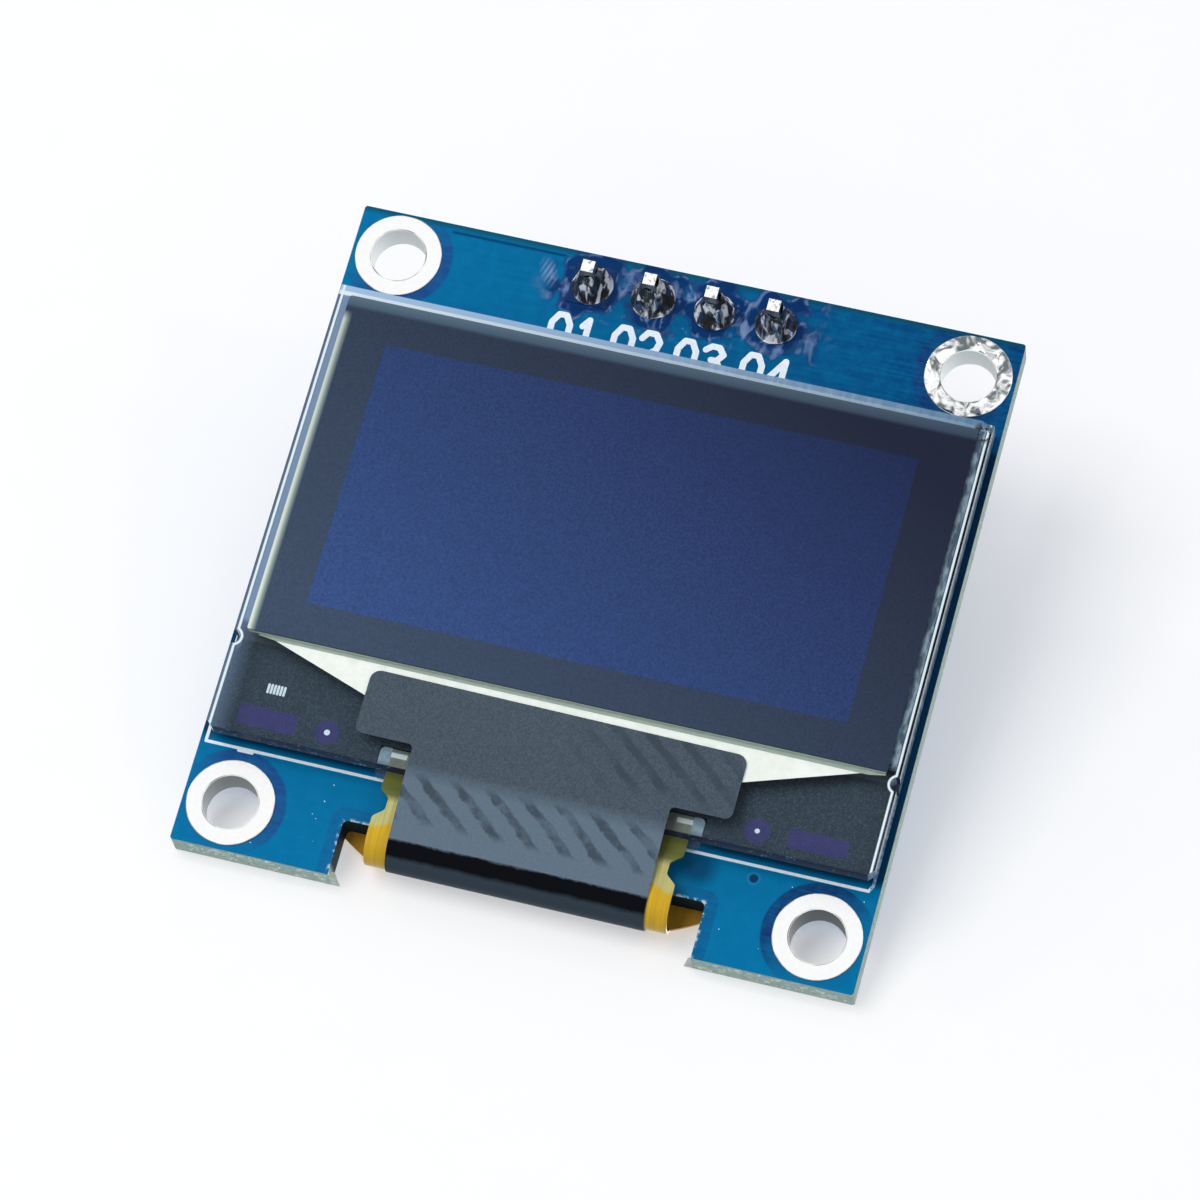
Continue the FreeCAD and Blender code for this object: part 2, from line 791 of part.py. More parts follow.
def main():
    os.makedirs("parts", exist_ok=True)
    save("circuit_board", make_board())
    save("mounting_hole_lands", make_hole_lands())
    save("header_lands", make_header_lands())
    save("flex_lands", make_flex_lands())
    save("component_lands", make_component_lands())
    save("panel_adhesive", make_panel_adhesive())
    save("rear_glass", make_rear_glass())
    save("edge_seal", make_edge_seal())
    save("emitting_film", make_emitting_film())
    save("front_glass", make_front_glass())
    save("polariser", make_polariser())
    save("driver_chip", make_driver_chip())
    save("sealant_beads", make_sealant_beads())
    save("flex_cable", make_flex_cable())
    save("flex_solder", make_flex_solder())
    save("black_tape", make_black_tape())
    save("header_housing", make_header_housing())
    for index, x in enumerate(pin_places()):
        pin = make_pin(x)
        joint = make_pin_solder(x, solder_heights[index], pin)
        if index == 0:
            joint = joint.fuse(solder_horn(x)).cut(pin).removeSplitter()
        save("header_pin_" + str(index + 1), pin)
        save("header_solder_" + str(index + 1), joint)
    save("regulator_body", make_regulator_body())
    save("regulator_leads", make_regulator_leads())
    capacitors = capacitor_places()
    resistors = resistor_places()
    save("capacitor_bodies", spread([chip_body(capacitor_height)], capacitors))
    save("capacitor_ends", spread(chip_ends(capacitor_height), capacitors))
    save("resistor_bodies", spread([chip_body(resistor_height)], resistors))
    save("resistor_ends", spread(chip_ends(resistor_height), resistors))
    save("component_solder", spread(chip_solder(capacitor_height), capacitors)
         + spread(chip_solder(resistor_height), resistors))


main()
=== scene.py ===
import functools
import math
import random

import bpy
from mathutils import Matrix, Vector, noise


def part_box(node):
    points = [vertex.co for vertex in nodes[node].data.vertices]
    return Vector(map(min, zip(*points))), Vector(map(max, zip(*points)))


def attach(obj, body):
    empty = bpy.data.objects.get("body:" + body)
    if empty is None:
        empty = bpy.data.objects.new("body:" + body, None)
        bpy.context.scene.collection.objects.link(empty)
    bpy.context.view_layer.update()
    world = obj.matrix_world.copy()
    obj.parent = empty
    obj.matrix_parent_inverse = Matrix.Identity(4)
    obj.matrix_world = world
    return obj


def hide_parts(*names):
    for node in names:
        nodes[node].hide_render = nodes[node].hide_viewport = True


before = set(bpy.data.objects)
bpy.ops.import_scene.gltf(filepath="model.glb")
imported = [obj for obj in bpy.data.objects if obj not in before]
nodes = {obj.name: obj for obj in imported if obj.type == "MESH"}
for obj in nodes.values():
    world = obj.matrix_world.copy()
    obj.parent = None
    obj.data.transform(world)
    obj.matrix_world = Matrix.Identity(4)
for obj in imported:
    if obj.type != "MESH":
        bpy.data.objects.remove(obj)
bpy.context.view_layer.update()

# A small glass display on a circuit board, seen from the front as it lies on a table. The packed
# parts are shown as they are, and this file gives them their finishes and adds the print, the
# solder's true shape and the small marks. Sizes are in millimetres of the part's frame, and the
# scale of a pattern is its number of cells to a millimetre.
MM = 0.001


# Circuit board.
# Glass-fibre and epoxy laminate, 1.2 mm thick, with copper on both faces under a coat of blue
# solder mask. It is routed to shape, so its edges show bare pale laminate and torn fibre.

def linear(code):
    """sRGB hex code to the linear colour that a shader takes."""
    parts = [int(code[i:i + 2], 16) / 255 for i in (1, 3, 5)]
    return tuple(c / 12.92 if c <= 0.04045 else ((c + 0.055) / 1.055) ** 2.4
                 for c in parts) + (1.0,)


def add_node(tree, kind, *inputs):
    """Adds one shader node. A second word in its kind is its operation, or what a Mix mixes. Its
    inputs are numbers, hex colours, sockets or other nodes, in the order of its sockets or in
    one dict by name."""
    kind, *mode = kind.split()
    node = tree.nodes.new("ShaderNode" + kind)
    if mode:
        setattr(node, "data_type" if kind == "Mix" else "operation", mode[0])
    live = [socket for socket in node.inputs if socket.enabled]
    by_name = inputs[0] if inputs and isinstance(inputs[0], dict) else {}
    pairs = [(next(s for s in live if s.name == name), by_name[name]) for name in by_name]
    for socket, value in pairs or zip(live, inputs):
        if isinstance(value, str):
            value = linear(value)
        elif isinstance(value, bpy.types.Node):
            value = next(s for s in value.outputs if s.enabled)
        if isinstance(value, bpy.types.NodeSocket):
            tree.links.new(value, socket)
        else:
            socket.default_value = value
    return node


def start(name):
    """New material, the function that adds nodes to it, and the place in millimetres."""
    made = bpy.data.materials.new(name)
    made.use_nodes = True
    made.node_tree.nodes.clear()
    add = functools.partial(add_node, made.node_tree)
    metres = add("TexCoord").outputs["Object"]
    return made, add, add("VectorMath SCALE", metres, 1000.0)


def mottled(name, grain, tones, surface, span=(0.0, 1.0), relief=None):
    """New material whose tone changes from the first to the second over a span of its grain. The
    grain is a noise's scale, detail and roughness; the relief is a bump's strength and its depth
    in millimetres."""
    made, add, spot = start(name)
    mottle = add("TexNoise", spot, *grain)
    tone = add("Mix RGBA", add("MapRange", mottle, *span), *tones)
    inputs = {"Base Color": tone, **surface}
    if relief:
        strength, depth = relief
        inputs["Normal"] = add("Bump",
                               {"Strength": strength, "Distance": depth * MM, "Height": mottle})
    add("OutputMaterial", add("BsdfPrincipled", inputs))
    return made


def give_finish(finish, *names):
    """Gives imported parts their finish."""
    for name in names:
        slots = nodes[name].material_slots
        for slot in slots:
            slot.material = finish
        if not slots:
            nodes[name].data.materials.append(finish)


def new_object(name, data):
    """A new object in the scene."""
    made = bpy.data.objects.new(name, data)
    bpy.context.scene.collection.objects.link(made)
    return made


def piece_of(name, points, faces, finish, slot):
    """A new piece from points in millimetres, riding on the part."""
    mesh = bpy.data.meshes.new(name)
    mesh.from_pydata([[c * MM for c in point] for point in points], [], faces)
    mesh.validate()
    mesh.materials.append(finish)
    piece = new_object(name, mesh)
    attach(piece, "root")
    return piece


def slabs(outlines, y0, y1):
    """Points and faces of flat pieces with given outlines, between two depths; each stands a
    hair further forward, so that no two share a face where they cross."""
    hair = 0.0002
    points, faces = [], []
    for step, outline in enumerate(outlines):
        first, count = len(points), len(outline)
        front = y0 - step * hair
        points += [(x, front, z) for x, z in outline] + [(x, y1, z) for x, z in outline]
        faces.append([first + i for i in range(count)])
        faces.append([first + count + i for i in reversed(range(count))])
        for i in range(count):
            j = (i + 1) % count
            faces.append([first + j, first + i, first + count + i, first + count + j])
    return points, faces


board_low, board_high = (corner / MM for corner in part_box("circuit_board"))
front_face, back_face = board_low.y, board_high.y
notch_side, notch_top = 7.25, -11.65
hole_x, hole_z, land_radius = 11.75, 12.0, 1.75
pin_pitch, pin_row = 2.54, 12.45
halo = land_radius + 0.45          # mask over bare laminate, round the middle of each land
notch_halo = 0.5                   # the same along the notch
via = (8.79, front_face, -10.27)
dark_spot_middle = (6.6, front_face, -10.35)
gap_x, gap_z = -7.5, 13.5          # middle of a gap in the copper near the top edge
fan_root = (-5.65, 0.0, 12.65)     # where the combed smear starts, beside the first joint


def off_holes(add, axes):
    """How far a point lies outward of the nearest mounting hole's middle, across and up, and how
    far from it."""
    aside = add("Math SUBTRACT", add("Math ABSOLUTE", axes["X"]), hole_x)
    above = add("Math SUBTRACT", add("Math ABSOLUTE", axes["Z"]), hole_z)
    return aside, above, add("VectorMath LENGTH", add("CombineXYZ", aside, above))


# Solder mask over copper: a thin glossy epoxy coat, teal at the lower left and deeper blue to the
# upper right as painted shade where the light falls off; over bare laminate it looks violet,
# painted darker to the right the same way. It dried in streaks 2 mm long and 0.15 mm high and in
# patches of
# 0.6 mm, with an orange peel of 0.1 mm. The routed edge is matt, with layers of fibre 0.03 mm thick
# and 0.2 mm wide.
solder_mask, add, spot = start("solder_masked_laminate_routed")
axes = add("SeparateXYZ", spot).outputs
wide = add("Math ABSOLUTE", axes["X"])
aside, above, to_hole = off_holes(add, axes)
in_halo = add("MapRange", to_hole, halo - 0.03, halo + 0.03, 1.0, 0.0)
outer = add("MapRange", add("Math ADD", aside, above), -1.2, 1.0, 1.0, 0.1)
in_halo = add("Math MULTIPLY", in_halo, outer)
beyond_side = add("Math SUBTRACT", wide, notch_side)
beyond_top = add("Math SUBTRACT", axes["Z"], notch_top)
corner_side = add("Math MAXIMUM", beyond_side, 0.0)
corner_top = add("Math MAXIMUM", beyond_top, 0.0)
to_notch = add("VectorMath LENGTH", add("CombineXYZ", corner_side, corner_top))
in_band = add("MapRange", to_notch, notch_halo - 0.03, notch_halo + 0.03, 0.4, 0.0)
past_first = add("Math ADD", axes["X"], 1.5 * pin_pitch)
over_row = add("Math SUBTRACT", axes["Z"], pin_row)
from_first = add("Math MAXIMUM", add("Math ABSOLUTE", past_first), add("Math ABSOLUTE", over_row))
square = add("MapRange", from_first, 1.16, 1.24, 1.0, 0.0)
slant = add("MapRange", add("Math ADD", past_first, over_row), -1.2, 0.3, 1.0, 0.15)
square = add("Math MULTIPLY", square, slant)
bare = add("Math MAXIMUM", in_halo, in_band)
bare = add("Math MAXIMUM", bare, square)
# Painted shade: the mask darker to the upper right and the violet darker to the right, as the light
# falls off.
across = add("MapRange", axes["X"], -13.0, 13.0)
upward = add("MapRange", axes["Z"], -6.0, 13.5)
painted_falloff = add("Math MULTIPLY", across, upward)
copper_blue = add("Mix RGBA", painted_falloff, "#006e9f", "#003269")
laminate_violet = add("Mix RGBA", across, "#1d4c8a", "#0f2f66")
coat = add("Mix RGBA", bare, copper_blue, laminate_violet)
streaked = add("VectorMath MULTIPLY", spot, (0.5, 1.0, 7.0))
cloud = add("MapRange", add("TexNoise", streaked, 1.0, 5.0), 0.4, 0.7, 0.0, 0.26)
patches = add("MapRange", add("TexNoise", spot, 1.6, 6.0, 0.7), 0.42, 0.7, 0.0, 0.25)
at_top = add("MapRange", axes["Z"], 13.55, 13.78, 0.0, 0.8)
for share, tint in ((cloud, "#0079a6"), (patches, "#0a86b4"), (at_top, "#064a5c")):
    coat = add("Mix RGBA", share, coat, tint)
back_coat = coat

# Marks on the front: a via, a soft dark spot, a gap in the copper and the painted shade that the
# panel throws.
from_via = add("VectorMath DISTANCE", spot, via)
via_ring = add("MapRange", from_via, 0.24, 0.3, 0.25, 0.0)
via_hole = add("MapRange", from_via, 0.15, 0.2, 0.9, 0.0)
from_dark_spot = add("VectorMath DISTANCE", spot, dark_spot_middle)
dark_spot = add("MapRange", from_dark_spot, 0.35, 0.95, 0.75, 0.0)
past_gap = add("Math SUBTRACT", axes["X"], gap_x)
over_gap = add("Math SUBTRACT", axes["Z"], gap_z)
along_gap = add("MapRange", add("Math ABSOLUTE", past_gap), 2.3, 2.5, 1.0, 0.0)
gap = add("MapRange", add("Math ABSOLUTE", over_gap), 0.03, 0.09, 0.8, 0.0)
gap = add("Math MULTIPLY", gap, along_gap)
under_panel = add("MapRange", axes["Z"], -9.66, -9.3, 0.0, 0.75)
below_top = add("MapRange", axes["Z"], 8.8, 9.2, 1.0, 0.0)
shaded = add("Math MULTIPLY", under_panel, below_top)

# Round the joints: mask wetted by flux with a pale ragged rim, dried flux in smears of about 1 mm,
# and a combed smear whose barbs are 0.26 mm apart.
past_pin = add("Math ADD", axes["X"], 2 * pin_pitch)
past_pin = add("Math FLOORED_MODULO", past_pin, pin_pitch)
past_pin = add("Math SUBTRACT", past_pin, pin_pitch / 2)
from_pin = add("VectorMath LENGTH", add("CombineXYZ", past_pin, over_row))
at_header = add("MapRange", wide, 5.3, 5.8, 1.0, 0.0)
drawn_out = add("VectorMath MULTIPLY", spot, (1.3, 1.0, 0.8))
smear = add("TexNoise", {"Vector": drawn_out, "Scale": 1.0, "Detail": 5.0, "Distortion": 1.5})
creep = add("MapRange", add("TexNoise", spot, 1.1, 1.0), 0.3, 0.7, -0.45, 0.45)
ragged = add("Math ADD", from_pin, creep)
wetted = add("MapRange", ragged, 1.2, 1.5, 0.85, 0.0)
wetted = add("Math MULTIPLY", wetted, at_header)
off_rim = add("Math SUBTRACT", ragged, 1.22)
rim = add("MapRange", add("Math ABSOLUTE", off_rim), 0.03, 0.16, 0.5, 0.0)
rim = add("Math MULTIPLY", rim, at_header)
rim = add("Math MULTIPLY", rim, add("MapRange", smear, 0.45, 0.6, 0.1, 1.0))
flattened = add("VectorMath MULTIPLY", spot, (0.17, 0.0, 0.75))
from_row = add("VectorMath DISTANCE", flattened, (0.0, 0.0, 9.15))
flux = add("MapRange", from_row, 0.55, 1.1, 1.0, 0.0)
flux = add("Math MULTIPLY", flux, add("MapRange", smear, 0.54, 0.64, 0.0, 0.5))
fan_spot = add("VectorMath SUBTRACT", spot, fan_root)
fan_length = add("VectorMath DOT_PRODUCT", fan_spot, (0.45, 0.0, -0.89))
fan_width = add("VectorMath DOT_PRODUCT", fan_spot, (0.89, 0.0, 0.45))
along_fan = add("Math MULTIPLY", fan_length, 1.3)
across_fan = add("Math MULTIPLY", fan_width, 2.6)
fan_round = add("VectorMath LENGTH", add("CombineXYZ", along_fan, across_fan))
barbs = add("Math ADD", fan_length, fan_width)
barbs = add("Math MULTIPLY", barbs, 24.0)
barbs = add("MapRange", add("Math SINE", barbs), -0.4, 0.6, 0.15, 1.0)
fan = add("MapRange", fan_round, 0.3, 1.0, 0.38, 0.0)
fan = add("Math MULTIPLY", fan, barbs)

# Pale fibre frayed at the notch's edge, in tufts of 0.25 mm.
tufts = add("MapRange", add("TexNoise", spot, 4.0, 4.0), 0.5, 0.58)
frayed = add("MapRange", to_notch, 0.03, 0.13, 0.9, 0.0)
frayed = add("Math MULTIPLY", frayed, tufts)
at_back = add("MapRange", axes["Y"], -0.7, -0.5)
for share, tint in ((via_ring, "#3a93c4"), (via_hole, "#022c52"), (dark_spot, "#023457"),
                    (gap, "#00355e"), (shaded, "#02142f"), (wetted, "#04285f"),
                    (rim, "#7f9ac6"), (flux, "#93aad8"), (fan, "#9fb6dc"),
                    (frayed, "#bcd4da"), (at_back, back_coat)):
    coat = add("Mix RGBA", share, coat, tint)

# The routed edge; the notch's walls are painted dark, as painted shade.
outward = add("SeparateXYZ", add("NewGeometry").outputs["Normal"]).outputs
facing = add("Math ABSOLUTE", outward["Y"])
on_edge = add("MapRange", facing, 0.4, 0.6, 1.0, 0.0)
layers = add("VectorMath MULTIPLY", spot, (1.0, 6.0, 1.0))
fibre = add("MapRange", add("TexNoise", layers, 5.0, 5.0, 0.7), 0.35, 0.65)
laminate = add("Mix RGBA", fibre, "#87a494", "#cfdfd3")
# Painted shade: the notch's walls drawn dark.
painted_notch_shade = add("MapRange", wide, notch_side + 0.05, notch_side + 0.15, 1.0, 0.0)
painted_notch_shade = add("Math MULTIPLY", painted_notch_shade, add("MapRange", axes["Z"], -13.7, -13.4))
painted_notch_shade = add("Math MULTIPLY", painted_notch_shade, add("MapRange", axes["Z"], 0.0, 1.0, 1.0, 0.0))
laminate = add("Mix RGBA", painted_notch_shade, laminate, "#1c2b2c")
skin = add("Mix RGBA", on_edge, coat, laminate)
rough = add("MapRange", on_edge, 0.0, 1.0, 0.28, 0.8)
peel = add("TexNoise", spot, 9.0, 2.0)
relief = add("Bump", {"Strength": 0.12, "Distance": 0.02 * MM, "Height": peel})
shader = add("BsdfPrincipled", {"Base Color": skin, "Roughness": rough,
                                "Specular IOR Level": 0.05, "Normal": relief})
add("OutputMaterial", shader)
give_finish(solder_mask, "circuit_board")

# Torn laminate: the router leaves pale glass fibre standing out of the edge, in short flakes
# along the side and the foot, and as a spur at each corner of the notch's mouth. The tufts are
# 0.17 mm wide, coarser than the fibre, so that they show.
torn_laminate = mottled("glass_fibre_laminate_torn", (6.0, 5.0, 0.7), ("#a9b9a4", "#e3ece6"),
                        {"Roughness": 0.8}, span=(0.35, 0.65))
points, faces = [], []
root = notch_side + 0.02
for sign in (-1, 1):
    for y, reach, rise in ((front_face + 0.01, 0.09, 0.14), (back_face - 0.01, 0.36, 0.55)):
        points += [(sign * root, y, board_low.z),
                   (sign * (notch_side - reach), y, board_low.z),
                   (sign * root, y, board_low.z + rise)]
    a = len(points) - 6
    faces += [(a, a + 1, a + 2), (a + 5, a + 4, a + 3), (a, a + 3, a + 4, a + 1),
              (a + 1, a + 4, a + 5, a + 2), (a + 2, a + 5, a + 3, a)]
side_flakes, foot_flakes = 130, 100
draw = random.Random(7)
for index in range(side_flakes + foot_flakes):
    along_side = index < side_flakes
    if along_side:
        place = draw.uniform(board_low.z + 0.2, board_high.z - 0.2)
    else:
        place = draw.choice((-1, 1)) * draw.uniform(notch_side + 0.1, board_high.x - 0.3)
    half, out = draw.uniform(0.05, 0.2), draw.uniform(0.015, 0.075)
    y0 = draw.uniform(front_face + 0.01, back_face - 0.3)
    y1 = y0 + draw.uniform(0.08, 0.28)
    tip = (place + draw.uniform(-half, half), (y0 + y1) / 2)
    corners = [(place - half, y0), (place + half, y0), (place + half, y1), (place - half, y1)]
    a = len(points)
    if along_side:
        points += [(board_high.x - 0.01, y, z) for z, y in corners]
        points.append((board_high.x + out, tip[1], tip[0]))
    else:
        points += [(x, y, board_low.z + 0.01) for x, y in corners]
        points.append((tip[0], tip[1], board_low.z - out))
    faces += [(a + i, a + (i + 1) % 4, a + 4) for i in range(4)] + [(a + 3, a + 2, a + 1, a)]
piece_of("torn_laminate_edge", points, faces, torn_laminate, "board")

# Marking ink: white epoxy screened on the mask, matt and a little uneven. Its grain is 0.14 mm,
# coarser than the pigment, so that it shows. The outline's right side is painted a thin blue as
# shade.
line_left, line_right, line_foot, line_head = -13.41, 13.32, -9.75, 9.8
line_width, pen_width = 0.125, 0.26
marking_ink, add, spot = start("white_epoxy_ink_screened")
grain = add("TexNoise", spot, 7.0, 3.0)
ink = add("Mix RGBA", add("MapRange", grain, 0.4, 0.75), "#f4fbff", "#e4f0fb")
shaded_ink = add("Mix RGBA", add("MapRange", grain, 0.42, 0.58), "#a6cbe4", "#4f86ae")
ink_x = add("SeparateXYZ", spot).outputs["X"]
# Painted shade: the outline's right line drawn pale blue.
darkened_edge = add("MapRange", ink_x, line_right - 0.1, line_right - 0.08)
ink = add("Mix RGBA", darkened_edge, ink, shaded_ink)
shader = add("BsdfPrincipled", {"Base Color": ink, "Roughness": 0.6})
add("OutputMaterial", shader)


def strokes(lines, width):
    """Outlines of straight pen strokes, each with round ends."""
    outlines, steps = [], 6
    for ax, az, bx, bz in lines:
        lean = math.atan2(bz - az, bx - ax)
        outline = []
        for x, z, start_turn in ((ax, az, lean + math.pi * 1.5), (bx, bz, lean + math.pi / 2)):
            outline += [(x + width / 2 * math.cos(start_turn - math.pi * i / steps),
                         z + width / 2 * math.sin(start_turn - math.pi * i / steps))
                        for i in range(steps + 1)]
        outlines.append(outline)
    return outlines


def disc(x, z, radius, count=32):
    """Outline of a disc."""
    return [(x + radius * math.cos(math.tau * i / count),
             z - radius * math.sin(math.tau * i / count)) for i in range(count)]


ink_front, ink_back = front_face - 0.012, front_face - 0.002
outline_lines = [(line_left, line_foot, line_left, line_head),
                 (line_left, line_foot, line_right - 0.12, line_foot),
                 (line_right, line_foot + 0.25, line_right, line_head),
                 (line_right, line_foot + 0.25, line_right - 0.12, line_foot),
                 (-12.05, -9.84, -11.5, -9.84)]
piece_of("panel_outline_ink", *slabs(strokes(outline_lines, line_width), ink_front, ink_back),
         marking_ink, "board")

# Fine dust on the front, none of it on the lands or in the notch.
dust_count = 60
draw = random.Random(11)
specks = [disc(draw.uniform(-13.2, 13.2), draw.uniform(-13.6, -10.2), draw.uniform(0.01, 0.024), 8)
          for index in range(dust_count)]
specks = [speck for speck in specks if abs(speck[0][0]) > notch_side + 0.5
          and math.hypot(abs(speck[0][0]) - hole_x, speck[0][1] + hole_z) > land_radius + 0.1]
piece_of("board_dust", *slabs(specks, front_face - 0.01, ink_back), marking_ink, "board")

# Plain numbers of the pins, drawn with a round pen; the glass hides their lower halves.
digit_lines = {
    "0": [[(0.3, 0), (0, 0.3), (0, 0.7), (0.3, 1), (0.7, 1), (1, 0.7), (1, 0.3), (0.7, 0),
           (0.3, 0)]],
    "1": [[(0.2, 0.75), (0.5, 1), (0.5, 0)], [(0.2, 0), (0.8, 0)]],
    "2": [[(0, 0.78), (0.25, 1), (0.7, 1), (1, 0.75), (0.9, 0.5), (0, 0), (1, 0)]],
    "3": [[(0, 0.85), (0.3, 1), (0.7, 1), (1, 0.78), (0.7, 0.55), (0.4, 0.55)],
          [(0.7, 0.55), (1, 0.28), (0.7, 0), (0.3, 0), (0, 0.15)]],
    "4": [[(0.72, 0), (0.72, 1), (0, 0.35), (1, 0.35)]],
}
digit_width, digit_height, digit_step, digit_foot = 0.74, 1.3, 1.1, 9.68
number_lines = []
for number, left in (("01", -4.95), ("02", -2.35), ("03", 0.25), ("04", 2.95)):
    for index, digit in enumerate(number):
        x0 = left + index * digit_step
        for bends in digit_lines[digit]:
            number_lines += [(x0 + ax * digit_width, digit_foot + az * digit_height,
                              x0 + bx * digit_width, digit_foot + bz * digit_height)
                             for (ax, az), (bx, bz) in zip(bends, bends[1:])]
piece_of("pin_numbers_ink", *slabs(strokes(number_lines, pen_width), ink_front, ink_back),
         marking_ink, "board")

# Copper tracks at the back, under the mask: each a strip with a gap in the copper at both sides.
# The gaps look deeper blue, with the weave of the glass cloth, 0.25 mm, faint in them.
masked_gap = mottled("solder_mask_over_bare_laminate", (4.0, 3.0), ("#073a66", "#0b4a7c"),
                     {"Roughness": 0.3, "Specular IOR Level": 0.05})
tracks = [
    [(-3.81, 11.3), (-3.81, 10.4), (-4.6, 9.6), (-5.2, 9.4)],
    [(-1.27, 11.3), (-1.27, 10.2), (-2.2, 9.4), (-3.1, 9.4)],
    [(1.27, 11.3), (1.27, 10.4), (2.2, 9.5), (3.2, 9.4)],
    [(3.81, 11.3), (3.81, 10.7), (4.3, 10.3), (6.2, 10.3), (6.8, 9.7)],
    [(5.85, 7.1), (5.85, 5.2), (4.6, 4.0), (4.6, -1.0), (2.4, -3.2)],
    [(7.75, 7.1), (7.75, 6.3), (10.0, 6.3), (10.4, 6.9)],
    [(3.2, 7.3), (3.2, 3.0), (0.0, -0.2), (0.0, -3.2)],
    [(-3.1, 7.3), (-3.1, 0.6), (-2.2, -0.3), (-2.2, -3.2)],
    [(-5.2, 7.3), (-5.2, 1.4), (-4.4, 0.6), (-4.4, -3.2)],
    [(-7.3, 7.3), (-7.3, 2.2), (-6.6, 1.5), (-6.6, -3.2)],
    [(-9.4, 7.3), (-9.4, -4.4), (-8.4, -5.4), (-8.37, -6.5)],
    [(6.2, -5.7), (5.89, -6.1), (5.89, -6.5)], [(8.4, -5.7), (8.37, -6.5)],
    [(7.15, -0.5), (7.15, -2.2), (6.3, -3.1)], [(8.85, -0.5), (8.85, -2.6), (8.5, -3.1)],
    [(-4.4, -5.7), (-4.65, -6.1), (-4.65, -6.5)], [(0.0, -5.7), (0.31, -6.1), (0.31, -6.5)],
]
track_lines = [(ax, az, bx, bz) for bends in tracks for (ax, az), (bx, bz) in zip(bends, bends[1:])]
vias = [(-8.2, 3.2), (-6.2, 5.9), (0.3, 6.2), (2.4, 4.4), (6.4, 2.6), (9.8, 4.2), (10.4, -2.4),
        (-10.6, -3.4), (-1.0, 2.6), (1.6, -1.6), (10.9, 1.2)]
for name, finish, width, radius, height in (
        ("back_track_gaps", masked_gap, 0.56, 0.45, 0.016),
        ("back_tracks", solder_mask, 0.24, 0.32, 0.032),
        ("back_via_holes", masked_gap, 0.0, 0.13, 0.034)):
    outlines = strokes(track_lines, width) if width else []
    outlines += [disc(x, z, radius, 24) for x, z in vias]
    seen_from_back = [outline[::-1] for outline in outlines]
    piece_of(name, *slabs(seen_from_back, back_face + height, back_face - 0.002), finish, "board")


# Plated lands.
# Copper lands and barrels, tinned by dipping the board in solder and blowing it level with hot
# air. They stand a little proud of the board.

bore_lip = 1.13                    # radius at which the bore's rounded edge ends

# Hot-air-levelled tin: bright, with soft swells of 1.1 mm and faint crystals of 0.2 mm. Its lip and
# rim are drawn with thin dark brown lines, and the bores are duller; the lower holes' bores are
# painted darker as shade, the right one most.
levelled_tin, add, spot = start("tin_hot_air_levelled")
swell = add("TexNoise", spot, 0.9, 2.0)
crystal = add("MapRange", add("TexVoronoi", spot, 5.0), 0.0, 0.6, 0.0, 0.5)
tin = add("Mix RGBA", crystal, "#ffffff", "#f3f5f6")
outward = add("SeparateXYZ", add("NewGeometry").outputs["Normal"]).outputs
in_bore = add("MapRange", add("Math ABSOLUTE", outward["Y"]), 0.3, 0.6, 1.0, 0.0)
axes = add("SeparateXYZ", spot).outputs
# Painted shade: the bores of the lower holes darker, the right one most.
shaded_low_bore = add("Mix RGBA", add("MapRange", axes["X"], -1.0, 1.0), "#80898c", "#5c6468")
bore = add("Mix RGBA", add("MapRange", axes["Z"], -1.0, 1.0), shaded_low_bore, "#cdd3d5")
aside, above, to_hole = off_holes(add, axes)
off_lip = add("Math SUBTRACT", to_hole, bore_lip)
lip = add("MapRange", add("Math ABSOLUTE", off_lip), 0.015, 0.03, 0.9, 0.0)
rim = add("MapRange", to_hole, land_radius - 0.05, land_radius - 0.01, 0.0, 0.9)
darkened_edge = add("Math MULTIPLY", add("Math MAXIMUM", lip, rim),
           add("MapRange", swell, 0.42, 0.6, 0.1, 0.9))
for share, tint in ((in_bore, bore), (darkened_edge, "#5b4d45")):
    tin = add("Mix RGBA", share, tin, tint)
relief = add("Bump", {"Strength": 0.25, "Distance": 0.08 * MM, "Height": swell})
dull = add("MapRange", in_bore, 0.0, 1.0, 0.32, 0.65)
shader = add("BsdfPrincipled",
             {"Base Color": tin, "Metallic": 1.0, "Roughness": dull, "Normal": relief})
add("OutputMaterial", shader)
give_finish(levelled_tin, "mounting_hole_lands", "flex_lands", "component_lands")

# The header's lands lie under burnt flux: a dark glassy varnish over the tin, in pools of 0.4 mm.
fluxed_tin = mottled("tin_under_burnt_flux", (2.5, 4.0), ("#0b2c5a", "#1c3a66"),
                     {"Roughness": 0.3, "Specular IOR Level": 0.1}, span=(0.4, 0.65))
give_finish(fluxed_tin, "header_lands")


# Display panel.
# Two sheets of scribed and broken glass joined by a resin line, the front one longer; the thin
# emitting layers lie between them. Double-sided tape holds the panel to the board.

# Foam-backed adhesive tape: off-white, matt, with cells of 0.1 mm.
foam_tape, add, spot = start("acrylic_foam_tape_cut")
cells = add("TexVoronoi", spot, 9.0)
foam = add("Mix RGBA", cells, "#e6e4dc", "#c9c7bd")
shader = add("BsdfPrincipled", {"Base Color": foam, "Roughness": 0.9})
add("OutputMaterial", shader)
give_finish(foam_tape, "panel_adhesive")

panel_low, panel_high = (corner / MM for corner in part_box("front_glass"))
glass_front, glass_back = panel_low.y, panel_high.y
glass_half, glass_middle = 13.35, 0.05
nick_z, nick_radius = -5.75, 0.22  # the side's bright line bends round a nick in the edge
line_in, top_line = 0.14, 9.38     # how far in the side's line lies, and where the top one does
chip_middle = (13.05, glass_front, 9.2)
